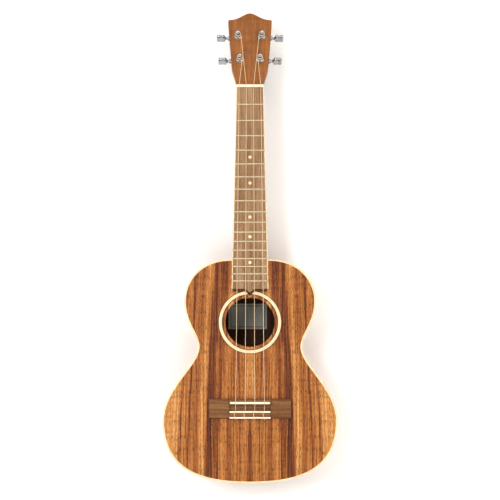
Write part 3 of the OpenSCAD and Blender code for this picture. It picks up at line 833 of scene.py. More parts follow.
@dataclass
class PartMaker:
    """Shared work of the sub-assemblies: hands over new pieces and dresses plain ones.

    Attributes:
        at: Main positions.
        fin: The materials.
    """

    at: Places
    fin: Finishes

    def swap(
        self, piece: bpy.types.Object, material: bpy.types.Material, slot: str, *nodes: str,
        body: str = "root",
    ) -> None:
        """Puts a new piece in the place of plain parts.

        Args:
            piece: The new piece.
            material: Its material.
            slot: Name of its finish; not used.
            nodes: The plain parts that it stands for.
            body: The body it moves with.
        """
        piece.data.materials.clear()
        piece.data.materials.append(material)
        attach(piece, body)
        if nodes:
            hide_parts(*nodes)
        log.info("%s: %d faces, rides on %s", piece.name, len(piece.data.polygons), body)

    def face_finish(
        self, piece: bpy.types.Object, material: bpy.types.Material,
        chosen: Callable[[bpy.types.MeshPolygon], bool],
    ) -> None:
        """Gives some faces of a piece another finish.

        Args:
            piece: The piece.
            material: The finish of those faces.
            chosen: Says which faces they are.
        """
        piece.data.materials.append(material)
        for face in piece.data.polygons:
            if chosen(face):
                face.material_index = len(piece.data.materials) - 1

    def dress(self, material: bpy.types.Material, *nodes: str, bevel: float = 0.0) -> None:
        """Gives plain parts a finish, and broken edges if asked.

        Args:
            material: The material.
            nodes: The plain parts.
            bevel: Width of the broken edges in millimetres.
        """
        for name in nodes:
            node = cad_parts[name]
            node.data.materials.clear()
            node.data.materials.append(material)
            if bevel:
                edge = node.modifiers.new("broken_edges", "BEVEL")
                edge.width = bevel * MM
                edge.segments = 2
                edge.limit_method = "ANGLE"
                edge.harden_normals = True
            log.info("%s: plain part kept, %s", name, material.name)


# ---------------------------------------------------------------- body


@dataclass(frozen=True)
class BodyOutline:
    """The outline of the body in millimetres: widest and narrowest places and how full the curves are.

    Attributes:
        flat: Half width of the straight stretch at the neck.
        upper: Half width of the upper bout, and how far it lies from the tail.
        waist: The same for the waist.
        lower: The same for the lower bout.
    """

    flat: float = 25.0
    upper: Flat = (89.7, 244.3)
    waist: Flat = (70.6, 181.1)
    lower: Flat = (117.7, 83.7)

    def half(self, tail_y: float, shoulder_y: float) -> list[Flat]:
        """The right half from the neck to the tail.

        Args:
            tail_y: End of the body.
            shoulder_y: Its other end.

        Returns:
            Points from the centre line to the centre line.
        """
        ux, uy = self.upper[0], tail_y + self.upper[1]
        wx, wy = self.waist[0], tail_y + self.waist[1]
        lx, ly = self.lower[0], tail_y + self.lower[1]
        flat = [(self.flat * i / 6, shoulder_y) for i in range(6)]
        return (
            flat
            + bezier((self.flat, shoulder_y), (self.flat + 44.3, shoulder_y), (ux, uy + 27.1), (ux, uy), 40)
            + bezier((ux, uy), (ux, uy - 31), (wx, wy + 17.1), (wx, wy), 26)
            + bezier((wx, wy), (wx, wy - 23.2), (lx, ly + 41.9), (lx, ly), 40)
            + bezier((lx, ly), (lx, ly - 73.8), (55, tail_y), (0, tail_y), 60)
            + [(0.0, tail_y)]
        )


@dataclass
class SoundBox(PartMaker):
    """The body: soundboard, back, bent sides, bindings, rosette, label and what holds them inside.

    Attributes:
        outline: The outline.
        wall: Thickness of the sides and width of the binding.
        binding_h: Height of the binding.
        top_t: Thickness of the soundboard.
        back_t: Thickness of the back.
        hole_r: Radius of the soundhole.
        ring: Inner and outer radius of the rosette.
        line: Width of its edge lines.
        inlay: Depth of the rosette.
        edge: Radius of the binding's scraped edge.
    """

    outline: BodyOutline = field(default_factory=BodyOutline)
    wall: float = 2.3
    binding_h: float = 5.0
    top_t: float = 2.2
    back_t: float = 2.5
    hole_r: float = 33.5
    ring: Flat = (38.2, 42.3)
    line: float = 0.9
    inlay: float = 1.0
    edge: float = 1.1

    def __post_init__(self) -> None:
        """Works out the outline."""
        self.half = self.outline.half(self.at.tail_y, self.at.shoulder_y)
        self.loop = closed_by_mirror(self.half)

    def hoop(self, profile: Sequence[Flat]) -> list[Ring]:
        """Rings along the outline, one for each point of a closed profile.

        Args:
            profile: How far in and how high each ring lies.

        Returns:
            The rings.
        """
        return [at_height(inset_loop(self.loop, far), z) for far, z in profile]

    def soundboard(self) -> None:
        """The top plate with its soundhole and the channel for the rosette."""
        top, low = self.at.top_z, self.at.top_z - self.top_t
        rim = inset_loop(self.loop, self.wall)
        turns = [math.atan2(y - self.at.hole_y, x) for x, y in rim]

        def round_ring(radius: float, z: float) -> Ring:
            """A ring round the soundhole whose points face those of the rim."""
            return [(radius * math.cos(a), self.at.hole_y + radius * math.sin(a), z) for a in turns]

        middle = [((x + self.ring[1] * 1.05 * math.cos(a)) / 2,
                   (y + self.at.hole_y + self.ring[1] * 1.05 * math.sin(a)) / 2, top)
                  for (x, y), a in zip(rim, turns)]
        outer, inner = self.ring[1] + self.line, self.ring[0] - self.line
        rings = [at_height(rim, top), middle, round_ring(outer, top), round_ring(outer, top - self.inlay),
                 round_ring(inner, top - self.inlay), round_ring(inner, top),
                 round_ring(self.hole_r + 0.5, top), round_ring(self.hole_r + 0.15, top - 0.15),
                 round_ring(self.hole_r, top - 0.5), round_ring(self.hole_r, low), at_height(rim, low)]
        piece = Skin().add(rings, wrap=True).build("soundboard_plate")
        self.swap(piece, self.fin.acacia_top, "koa", "soundboard")

    def rosette(self) -> None:
        """The ivory ring round the soundhole with a thin dark line on each side."""
        top, floor_z = self.at.top_z, self.at.top_z - self.inlay
        centre = (0.0, self.at.hole_y)

        def band(inner: float, outer: float, rise: float) -> list[Ring]:
            """A closed band between two radii, scraped to a very low dome.

            Args:
                inner: Inner radius.
                outer: Outer radius.
                rise: Height of the dome.

            Returns:
                The rings of its section.
            """
            profile = [(inner, floor_z), (inner, top), (inner + 0.12, top + rise), (outer - 0.12, top + rise),
                       (outer, top), (outer, floor_z)]
            return lathe(profile, 160, centre)

        piece = Skin().add(band(*self.ring, 0.03), wrap=True).build("rosette_ring", crease=50)
        self.swap(piece, self.fin.ivory, "ivory", "rosette")
        lines = Skin().add(band(self.ring[0] - self.line, self.ring[0], 0.01), wrap=True)
        lines.add(band(self.ring[1], self.ring[1] + self.line, 0.01), wrap=True)
        self.swap(lines.build("rosette_edge_lines"), self.fin.black_line, "black_line", "rosette_lines")

    def bindings(self) -> None:
        """The ivory strips round both edges, scraped round at the corner."""
        top, wall = self.at.top_z, self.wall
        corner = [(into, top - down) for into, down in quarter_round(self.edge)]
        strip = self.hoop([(0, top - self.binding_h), *corner, (wall, top), (wall, top - self.binding_h)])
        upper = Skin().add(strip, wrap=True).build("top_edge_binding")
        self.swap(upper, self.fin.ivory, "ivory", "top_binding")
        corner = [(into, 0.2 + down) for into, down in quarter_round(self.edge + 0.3)]
        strip = self.hoop([(0, self.binding_h), *corner, (wall, 0.2), (wall, self.binding_h)])
        lower = Skin().add(strip, wrap=True).build("back_edge_binding")
        self.swap(lower, self.fin.ivory, "ivory", "back_binding")

    def back(self) -> None:
        """The back plate, with its lower edge just broken."""
        rings = self.hoop([(self.wall, self.back_t), (self.wall, 0.15), (self.wall + 0.2, 0.0)])
        centre = [(x * 0.5, self.at.hole_y + (y - self.at.hole_y) * 0.5) for x, y in self.loop]
        rings = [at_height(centre, self.back_t), *rings, at_height(centre, 0.0)]
        piece = Skin().add(rings).build("book_matched_back")
        self.swap(piece, self.fin.acacia_back, "koa", "back_plate")
        # Painted shade: the inner face of the back gets the near-black inside finish
        self.face_finish(piece, self.fin.acacia_inside_painted_shade, lambda face: face.normal.z > 0.9)

    def sides(self) -> None:
        """The two bent sides, which meet at the neck and the tail."""
        low, high = self.binding_h, self.at.top_z - self.binding_h
        inner = inset_loop(self.loop, self.wall)[: len(self.half)]
        for sign, node in ((1, "side_right"), (-1, "side_left")):
            rings, grain, run = [], [], 0.0
            for i, ((x, y), (u, v)) in enumerate(zip(self.half, inner)):
                if i:
                    run += math.hypot(x - self.half[i - 1][0], y - self.half[i - 1][1])
                u = 0.0 if abs(x) < 1e-6 else u
                heights = [low + (high - low) * k / 4 for k in range(5)]
                rings.append([(sign * x, y, z) for z in heights]
                             + [(sign * u, v, z) for z in reversed(heights)])
                grain.append([(z, run, 0.0) for z in heights]
                             + [(z, run, self.wall) for z in reversed(heights)])
            piece = Skin().add(rings, grain=grain).build(f"bent_{node}")
            self.swap(piece, self.fin.acacia_side, "koa", node)
            middle = Vector((0, self.at.hole_y - 40, 0)) * MM
            # Painted shade: the inner faces of the sides get the near-black inside finish
            self.face_finish(piece, self.fin.acacia_inside_painted_shade,
                             lambda face: face.normal.dot(face.center - middle) < 0)

    def label(self) -> None:
        """The paper label on the back, seen through the soundhole, with its corners lifting a little."""
        low, high = box_mm("label")
        columns, rows = 24, 16

        def sheet(z: float) -> list[Ring]:
            """Rows of points whose corners curl up.

            Args:
                z: Height of the sheet where it lies flat.

            Returns:
                The rows, from the tail side to the neck side.
            """
            lines = []
            for j in range(rows + 1):
                v = j / rows
                line = []
                for i in range(columns + 1):
                    u = i / columns
                    curl = 0.5 * (abs(2 * u - 1) * abs(2 * v - 1)) ** 5
                    line.append((low.x + (high.x - low.x) * u, low.y + (high.y - low.y) * v, z + curl))
                lines.append(line)
            return lines

        rings = [under + list(reversed(over)) for under, over in zip(sheet(low.z), sheet(high.z))]
        piece = Skin().add(rings).build("maker_label")
        self.swap(piece, Paper(tuple(low), tuple(high)).make(), "paper", "label")

    def make(self) -> None:
        """Builds the whole body."""
        self.soundboard()
        self.rosette()
        self.bindings()
        self.back()
        self.sides()
        self.label()
        self.dress(self.fin.spruce_long, "kerfed_linings", "fan_braces", bevel=0.3)
        self.dress(self.fin.spruce_wide, "transverse_braces", "bridge_plate", "back_braces", bevel=0.4)
        self.dress(self.fin.spruce_long, "neck_dowels", bevel=0.4)
        self.dress(self.fin.block, "neck_block", "tail_block", bevel=0.5)


# ---------------------------------------------------------------- neck


@dataclass
class Neck(PartMaker):
    """The neck with its heel, headstock and veneer, and the fretboard with all that is set in it.

    Attributes:
        depth: Depth of the neck under the fretboard at the nut.
        growth: Growth of that depth towards the heel.
        heel_len: Length of the heel's curve.
        heel_rise: How strongly the heel falls.
        foot_z: Height of the heel's foot.
        round_power: Roundness of the section.
        foot_taper: How much narrower the heel is at its foot.
        head_len: Length of the headstock.
        head_back: Height of its rear face, measured from its front.
        veneer: Thickness of its veneer.
        board_end: Distance from the nut to the fretboard's far corners.
        tip: How far its pointed end reaches past them, and half the width of that point.
        binding: Width of the fretboard's binding.
        frets: Number of frets.
        dots: Frets with a position dot before them.
    """

    depth: float = 14.0
    growth: float = 2.5
    heel_len: float = 46.0
    heel_rise: float = 90.0
    foot_z: float = 2.0
    round_power: float = 0.86
    foot_taper: float = 0.45
    head_len: float = 114.4
    head_back: float = -13.0
    veneer: float = 2.0
    board_end: float = 284.0
    tip: Flat = (5.3, 7.6)
    binding: float = 1.2
    frets: int = 17
    dots: tuple[int, ...] = (5, 7, 10, 12, 15)

    def __post_init__(self) -> None:
        """Works out how far the heel is from the nut."""
        self.heel = self.at.nut_y - self.at.shoulder_y

    def drop(self, distance: float) -> float:
        """Depth of the neck below the fretboard at a distance from the nut.

        Args:
            distance: That distance.

        Returns:
            The depth in millimetres.
        """
        rest = (self.heel - distance) / self.heel_len
        fall = self.heel_rise * (1 - rest) ** 2.2 if rest < 1 else 0.0
        return self.depth + self.growth * distance / self.heel + fall

    def narrowing(self, depth: float) -> float:
        """How much narrower the section is at a depth."""
        return 1 - self.foot_taper * (depth / self.at.top_z) ** 1.2

    def section(self, distance: float, half: float, top: float, drop: float) -> Ring:
        """One section of the shaft.

        Args:
            distance: Its distance from the nut.
            half: Its half width at the top.
            top: Height of its flat top.
            drop: Its full depth.

        Returns:
            A closed ring: the round underside from left to right, then back along the top.
        """
        ring = []
        steps = 48
        for i in range(steps + 1):
            angle = math.pi * i / steps
            c = math.cos(angle)
            depth = min(drop * math.sin(angle) ** self.round_power, top - self.foot_z)
            x = -half * math.copysign(abs(c) ** self.round_power, c) * self.narrowing(max(depth, 0.0))
            ring.append((x, self.at.nut_y - distance, top - max(depth, 0.0)))
        ring += [(half * (1 - 2 * k / 8), self.at.nut_y - distance, top) for k in range(1, 8)]
        return ring

    def head_outline(self, root: float) -> list[Flat]:
        """Outline of the headstock with its crowned tip.

        Args:
            root: Where it starts along the face.

        Returns:
            The closed outline.
        """
        top = self.head_len
        side = (
            ([(19.15, root)] if root < 0 else [])
            + bezier((19.15, max(root, 0.0)), (19.8, 13), (24.5, 19), (25.7, 30), 20)
            + bezier((25.7, 30), (27, 47), (30, 84), (31, 98), 8)
            + bezier((31, 98), (31.2, 101.5), (31.1, 103.6), (29.2, 103.6), 8)
            + bezier((29.2, 103.6), (16, 103.2), (8, top), (0, top), 28)
            + [(0.0, top)]
        )
        return closed_by_mirror(side)

    def head_holes(self) -> bpy.types.Object:
        """A cutter for the four tuner holes.

        Returns:
            The cutter, in the place of the headstock.
        """
        skin = Skin()
        for tuner in TUNERS:
            centre = (tuner.side * tuner.x, tuner.s)
            skin.add(lathe([(4.0, self.head_back - 1), (4.0, 3.0)], 40, centre))
        return skin.build("tuner_hole_cutter", self.at.head())

    def shaft(self) -> None:
        """The neck in one piece, from the heel to the tip of the headstock."""
        reach = self.at.nut_back - self.at.nut_y
        straight, curved = 26, 34
        bend = self.heel - self.heel_len
        stops = [-reach + (bend + reach) * i / straight for i in range(straight + 1)]
        stops += [bend + self.heel_len * i / curved for i in range(1, curved + 1)]
        rings = []
        # Tongue that runs out under the headstock, where the carver blends the two
        for k in range(10):
            out = 1 - k / 10
            rings.append(self.section(
                -reach - 22 * out, self.at.neck_half(-reach) * (1 - 0.35 * out**1.5), self.at.top_z - 9 * out,
                self.depth - 9 * out + 1.2 * math.sin(math.pi * out)))
        rings += [self.section(d, self.at.neck_half(d), self.at.top_z, self.drop(d)) for d in stops]
        neck = Skin().add(rings).build("carved_neck")
        loop = self.head_outline(-8.0)
        low = self.head_back
        profile = [(into, low + down) for into, down in reversed(quarter_round(1.0, 4))]
        head = Skin().add([at_height(inset_loop(loop, far), z) for far, z in profile + [(0.0, -self.veneer)]])
        carve(neck, head.build("headstock_core", self.at.head()), Carving.MERGE)
        slab = rounded_box((-40, self.at.nut_y - 30), (40, self.at.nut_back), 1.0)
        planed = Skin().add([at_height(slab, self.at.top_z), at_height(slab, self.at.top_z + 20)])
        carve(neck, planed.build("slab"), Carving.CUT)
        carve(neck, self.head_holes(), Carving.CUT)
        self.swap(neck, self.fin.mahogany, "mahogany", "neck")
        loop = self.head_outline(0.05)
        profile = [(0.0, -self.veneer)] + [(into, -down) for into, down in quarter_round(0.45, 3)]
        face = Skin().add([at_height(inset_loop(loop, far), z) for far, z in profile])
        face = face.build("headstock_face_veneer", self.at.head())
        carve(face, self.head_holes(), Carving.CUT)
        self.swap(face, self.fin.veneer, "mahogany", "headstock_veneer")

    def heel_cap(self) -> None:
        """The ivory cap under the heel's foot."""
        fall = self.at.top_z - self.foot_z
        length = self.heel_len * (1 - ((fall - self.depth - self.growth) / self.heel_rise) ** (1 / 2.2))
        side = []
        for i in range(25):
            d = self.heel - length * (1 - i / 24)
            s = min(fall / self.drop(d), 1.0) ** (1 / self.round_power)
            share = math.sqrt(max(1 - s * s, 0)) ** self.round_power
            half = self.at.neck_half(d) * share * self.narrowing(fall)
            side.append((max(half, 0.0), self.at.nut_y - d))
        loop = closed_by_mirror(side)
        profile = [(0.0, self.foot_z), (0.0, 0.9), (0.18, 0.5), (0.5, 0.3)]
        rings = [at_height(inset_loop(loop, far), z) for far, z in profile]
        self.swap(Skin().add(rings).build("ivory_heel_cap"), self.fin.ivory, "ivory", "heel_cap")

    def board_loop(self, end: float, tip: float, z: float, reach: float) -> Ring:
        """The fretboard's outline at one height.

        Args:
            end: Distance from the nut to its far corners.
            tip: How far the pointed end reaches past them.
            z: The height.
            reach: How much narrower it is than the neck on each side.

        Returns:
            The closed outline.
        """
        nut_y, half = self.at.nut_y, self.tip[1]
        y = nut_y - end
        edge = [(self.at.neck_half(d) - reach, nut_y - d) for d in (end * k / 20 for k in range(21))]
        ogee = bezier((half, y), (4.0, y), (2.5, y - tip), (0, y - tip), 14)
        flat = [(edge[-1][0] + (half - edge[-1][0]) * k / 6, y) for k in range(1, 6)]
        return at_height(closed_by_mirror(edge + flat + ogee + [(0.0, y - tip)]), z)

    def board(self) -> None:
        """The fretboard, whose far end slopes down to the soundboard, and its binding."""
        low, top, reach = self.at.top_z, self.at.board_z, self.binding
        rings = [
            self.board_loop(self.board_end, self.tip[0], low, reach),
            self.board_loop(self.board_end, self.tip[0], low + 1.2, reach),
            self.board_loop(self.board_end - 2.8, self.tip[0] - 0.5, top - 0.5, reach),
            self.board_loop(self.board_end - 3.2, self.tip[0] - 0.6, top, reach),
        ]
        piece = Skin().add(rings).build("walnut_fretboard", crease=20)
        self.swap(piece, self.fin.fretboard, "fretboard_wood", "fretboard")
        # Partly painted shade: faces at the far end that point towards the tail get the darker end-grain
        # finish
        self.face_finish(piece, self.fin.end_grain_and_painted_shade, lambda face: face.normal.z < 0.9 and face.normal.y < -0.1)
        skin = Skin()
        soft = 0.45
        for sign in (1, -1):
            rings = []
            for k in range(25):
                share = k / 24
                ring = []
                for far, z in ((reach, low), (reach, top), (soft, top), (soft * 0.3, top - soft * 0.3),
                               (0.0, top - soft), (0.0, low)):
                    slope = max(0.0, (z - low - 1.2) / (top - low - 1.2)) * 3.2
                    d = (self.board_end - slope) * share
                    ring.append((sign * (self.at.neck_half(d) - far), self.at.nut_y - d, z))
                rings.append(ring)
            skin.add(rings)
        strips = skin.build("fretboard_edge_binding", crease=50)
        self.swap(strips, self.fin.ivory, "ivory", "fretboard_binding")

    def fret_wires(self) -> None:
        """Frets with a round crown, filed round at both ends."""
        skin = Skin()
        top, radius, sunk = self.at.board_z, 1.25, 0.25
        start = math.asin(sunk / radius)
        arc = [start + (math.pi - 2 * start) * i / 12 for i in range(13)]
        for number in range(1, self.frets + 1):
            d = self.at.fret(number)
            length = self.at.neck_half(d) - 0.5
            ends = ((0.0, 0.3), (0.12, 0.62), (0.35, 0.86), (0.7, 0.97), (1.1, 1.0))
            stations = [(-length + into, size) for into, size in ends]
            stations += [(length - into, size) for into, size in reversed(ends)]
            y = self.at.nut_y - d
            rings = [
                [(x, y + radius * math.cos(a), top + size * (radius * math.sin(a) - sunk)) for a in arc]
                + [(x, y - 0.25, top - 0.4), (x, y + 0.25, top - 0.4)]
                for x, size in stations
            ]
            skin.add(rings)
        self.swap(skin.build("crowned_frets", crease=50), self.fin.nickel_silver, "fret_wire", "frets")

    def position_dots(self) -> None:
        """Ivory dots, flush with the fretboard, and the small dark ones on its edge."""
        skin = Skin()
        top = self.at.board_z
        for number in self.dots:
            y = self.at.nut_y - (self.at.fret(number - 1) + self.at.fret(number)) / 2
            skin.add(lathe([(2.2, top - 1), (2.2, top), (2.08, top + 0.03), (0.7, top + 0.05)], 40, (0.0, y)))
        self.swap(skin.build("inlaid_position_dots"), self.fin.ivory, "ivory", "position_dots")
        self.dress(self.fin.black_line, "side_dots")

    def make(self) -> None:
        """Builds the whole neck."""
        self.shaft()
        self.heel_cap()
        self.board()
        self.fret_wires()
        self.position_dots()


# ---------------------------------------------------------------- strings and what carries them


@dataclass
class StringRun(PartMaker):
    """Nut, saddle, bridge and the four strings with their knots and windings.

    Attributes:
        radius: Radius of a string.
        nut_gap: Spacing of the strings at the nut.
        saddle_gap: Spacing at the saddle.
        nut_half: Half the length of the nut.
        bridge_half: Half width of the bridge.
        middle_half: Half width of its raised middle.
        saddle_half: Half the length of the saddle.
        wrap_r: Radius of the turn round a post.
        wrap_z: Its height above the headstock's face.
        coil_r: Radius of the turns wound on a post.
        coil_turns: How many there are.
        lean: How far each tie loop leans over the tie block.
    """

    radius: float = 0.35
    nut_gap: float = 10.0
    saddle_gap: float = 12.8
    nut_half: float = 19.0
    bridge_half: float = 55.25
    middle_half: float = 27.4
    saddle_half: float = 27.0
    wrap_r: float = 3.55
    wrap_z: float = 8.15
    coil_r: float = 3.36
    coil_turns: float = 2.9
    lean: float = -2.4

    def __post_init__(self) -> None:
        """Works out the heights of the strings and of the tie block."""
        self.nut_line = self.at.board_z + 1.6
        self.saddle_line = self.at.board_z + 5.35
        self.tie_top = self.at.top_z + 7.8
        self.tie_front = self.at.bridge_rear + 9.8
        self.hole_z = self.at.top_z + 4.6

    def nut(self) -> None:
        """The nut: rounded back, soft ends and four slots that the strings lie in."""
        y, back, low, top = self.at.nut_y, self.at.nut_back, self.at.top_z, self.at.board_z + 2
        round_back = [(back, top - 1.7), (back - 0.25, top - 1.05), (back - 0.7, top - 0.5),
                      (back - 1.3, top - 0.16), (back - 2.0, top), (y + 0.35, top), (y + 0.1, top - 0.1),
                      (y, top - 0.35)]
        slot = self.radius + 0.07
        stations = [(-self.nut_half + into, down, 0.0) for into, down in quarter_round(0.7, 4)]
        for k in range(4):
            middle = (k - 1.5) * self.nut_gap
            stations.append((middle - slot, 0.0, 0.0))
            for i in range(9):
                across = slot * math.cos(math.pi * (1 - i / 8))
                stations.append((middle + across, 0.0, math.sqrt(max(slot**2 - across**2, 0.0)) + 1e-3))
            stations.append((middle + slot, 0.0, 0.0))
        stations += [(self.nut_half - into, down, 0.0) for into, down in reversed(quarter_round(0.7, 4))]
        rings = []
        for x, down, groove in stations:
            roof = self.nut_line - groove + 1e-3 if groove else top - down
            ring = [(x, y, low), (x, back, low)]
            ring += [(x, v, min(z, roof)) for v, z in round_back]
            rings.append(ring)
        self.swap(Skin().add(rings).build("slotted_nut", crease=40), self.fin.bone, "ivory", "nut")

    def bar(self, centre: Flat, half: float, profile: Sequence[Flat], soft: float) -> list[Ring]:
        """Rings of a bar across the body with softened ends.

        Args:
            centre: The point of its section, y and z, that the ends close in on.
            half: Half its length.
            profile: Its closed section, y and z.
            soft: Radius of its ends.

        Returns:
            The rings.
        """
        rings = []
        ends = [(-half + down, into) for into, down in reversed(quarter_round(soft, 4))]
        for x, into in ends + [(-x, into) for x, into in reversed(ends)]:
            ring = []
            for y, z in profile:
                away = Vector((y - centre[0], z - centre[1]))
                size = max(away.length - into, 0.05) / max(away.length, 1e-6)
                ring.append((x, centre[0] + away.x * size, centre[1] + away.y * size))
            rings.append(ring)
        return rings

    def saddle(self) -> None:
        """The bone saddle with a round top and rounded ends."""
        y, low, top = self.at.saddle_y, self.at.top_z + 3.5, self.at.top_z + 11.0
        crown = [(y + 1.5 * math.cos(math.pi * i / 14), top - 1.5 + 1.5 * math.sin(math.pi * i / 14))
                 for i in range(15)]
        profile = [(y - 1.5, low), (y + 1.5, low), *crown]
        rings = []
        for x, into in ((-1.0, 2.0), (-0.992, 1.2), (-0.978, 0.55), (-0.955, 0.18), (-0.93, 0.0),
                        (0.93, 0.0), (0.955, 0.18), (0.978, 0.55), (0.992, 1.2), (1.0, 2.0)):
            rings.append([
                (x * self.saddle_half, y + (v - y) * (1 - 0.12 * into), z - into if z > low + 3 else z)
                for v, z in profile])
        self.swap(Skin().add(rings).build("bone_saddle", crease=40), self.fin.bone, "ivory", "saddle")

    def bridge(self) -> None:
        """The bridge: low flat wings, a raised middle with its channel and tie block, and two bone strips."""
        front, rear, low = self.at.bridge_front, self.at.bridge_rear, self.at.top_z
        top, y = low + 8.0, self.at.saddle_y
        middle = [
            (front, low), (front, low + 5.6), (front - 0.35, low + 6.6), (front - 1.1, top - 0.35),
            (front - 2.1, top), (y + 1.5, top), (y + 1.5, low + 3.5), (y - 1.5, low + 3.5), (y - 1.5, top),
            (y - 3.0, top), (y - 3.4, top - 0.3), (y - 4.0, low + 4.6), (y - 4.5, low + 3.5),
            (y - 5.2, low + 3.2), (self.tie_front, low + 3.2), (self.tie_front, self.tie_top - 2),
            (self.tie_front - 2, self.tie_top - 2), (self.tie_front - 2, self.tie_top),
            (rear + 2, self.tie_top), (rear + 2, self.tie_top - 2), (rear, self.tie_top - 2), (rear, low)]
        skin = Skin()
        half = self.middle_half
        skin.add([[(x, v, z) for v, z in middle] for x in (-half, half)])
        stations = [(half - 0.4, 0.0, 6.4), (half + 0.3, 0.0, 5.4), (half + 1.4, 0.0, 4.55),
                    (half + 3.0, 0.0, 4.0), (half + 5.0, 0.0, 3.8)]
        stations += [(half + 5 + (self.bridge_half - half - 5.6) * k / 5, 0.0, 3.8) for k in range(1, 6)]
        stations += [(self.bridge_half - 0.2, 0.15, 3.5), (self.bridge_half, 0.45, 2.9)]
        for sign in (1, -1):
            rings = []
            for x, into, height in stations:
                f, r = front - into, rear + into
                rings.append([(sign * x, v, z) for v, z in (
                    (f, low), (f, low + height * 0.66), (f - 0.22, low + height * 0.84),
                    (f - 0.7, low + height * 0.96), (f - 1.5, low + height), (r + 1.5, low + height),
                    (r + 0.7, low + height * 0.96), (r + 0.22, low + height * 0.84), (r, low + height * 0.66),
                    (r, low))])
            skin.add(rings)
        block = skin.build("walnut_bridge", crease=30)
        drill = Skin()
        for k in range(4):
            x = (k - 1.5) * self.saddle_gap
            rings = [[(x + u, v, self.hole_z + w) for u, w in circle(0.8, 20)]
                     for v in (rear - 1, self.tie_front + 1)]
            drill.add(rings)
        carve(block, drill.build("string_drill"), Carving.CUT)
        self.swap(block, self.fin.bridge, "bridge_wood", "bridge")
        strips = Skin()
        for y0 in (self.tie_front - 2, rear):
            box = rounded_box((y0, self.tie_top - 2), (y0 + 2, self.tie_top), 0.35, 4)
            strips.add(self.bar((y0 + 1, self.tie_top - 1), half, box, 0.3))
        self.swap(strips.build("tie_block_strips", crease=40), self.fin.bone, "ivory", "tie_strips")

    def route(self, k: int, tuner: Tuner) -> list[Vector]:
        """The line of a string from its tucked end at the bridge to its turn round the post.

        Args:
            k: Which string, from the left.
            tuner: Its tuner.

        Returns:
            The points it passes through.
        """
        xs, xn = (k - 1.5) * self.saddle_gap, (k - 1.5) * self.nut_gap
        rear, front, tie = self.at.bridge_rear, self.tie_front, self.tie_top
        lean, over = self.lean, tie + self.radius + 0.05
        points = [
            Vector(p) for p in (
                (xs + lean, front + 0.6, tie - 2.4), (xs + lean, front + 0.55, tie - 0.6),
                (xs + lean, front + 0.25, over - 0.15), (xs + lean + 0.1, front - 0.7, over),
                (xs - 0.9, rear + 1, over), (xs - 0.6, rear - 0.25, over - 0.15),
                (xs - 0.3, rear - 0.65, tie - 0.6), (xs - 0.1, rear - 0.7, self.hole_z + 0.9),
                (xs, rear - 0.45, self.hole_z + 0.15), (xs, rear + 0.3, self.hole_z),
                (xs, front - 0.3, self.hole_z), (xs, front + 0.8, self.hole_z + 0.25),
                (xs, self.at.saddle_y - 1.9, self.saddle_line - 0.75),
                (xs, self.at.saddle_y, self.saddle_line),
                (xn, self.at.nut_y + 0.3, self.nut_line),
                (xn, self.at.nut_back - 1.8, self.nut_line))
        ]
        head = self.at.head()
        for degrees in range(0, 307, 18):
            a = math.radians(degrees)
            points.append(head @ Vector((tuner.side * (tuner.x - self.wrap_r * math.cos(a)),
                                         tuner.s + self.wrap_r * math.sin(a), self.wrap_z)))
        return points

    def loose_end(self) -> list[Vector]:
        """The cut end of the last string, which sticks out behind the bridge.

        Returns:
            The points of its line.
        """
        start = Vector((1.5 * self.saddle_gap, self.at.bridge_rear, self.tie_top))
        steps = ((-0.1, 0.6, 0.2), (0.1, -0.3, -0.2), (0.2, -1.5, -1.2), (0.25, -2.3, -2.2))
        return [start + Vector(step) for step in steps]

    def coil(self, tuner: Tuner) -> list[Vector]:
        """The line of the turns wound on a post.

        Args:
            tuner: The tuner of that post.

        Returns:
            The points of the helix.
        """
        head, line = self.at.head(), []
        low, high = self.wrap_z - 2.6, self.wrap_z - 0.74
        count = int(self.coil_turns * 24)
        for i in range(count + 1):
            share = i / count
            a = math.tau * self.coil_turns * share
            line.append(head @ Vector((
                tuner.side * (tuner.x - self.coil_r * math.cos(a)), tuner.s + self.coil_r * math.sin(a),
                low + (high - low) * share)))
        return line

    def strings(self) -> None:
        """The strings, tied at the bridge and wound on their posts."""
        for k, tuner in enumerate(TUNERS):
            skin = Skin().add(tube(smooth_path(self.route(k, tuner), 5), self.radius))
            if tuner is TUNERS[-1]:
                skin.add(tube(smooth_path(self.loose_end(), 4), self.radius))
            string = skin.build(f"tied_string_{tuner.letter}", crease=60)
            self.swap(string, self.fin.nylon, "string", f"string_{tuner.letter}")
            turns = Skin().add(tube(self.coil(tuner), self.radius, 10))
            coil = turns.build(f"coil_{tuner.letter}", crease=60)
            self.swap(coil, self.fin.nylon, "string", f"winding_{tuner.letter}", body=f"post_{tuner.letter}")

    def make(self) -> None:
        """Builds the strings and what carries them."""
        self.nut()
        self.saddle()
        self.bridge()
        self.strings()


# ---------------------------------------------------------------- tuners


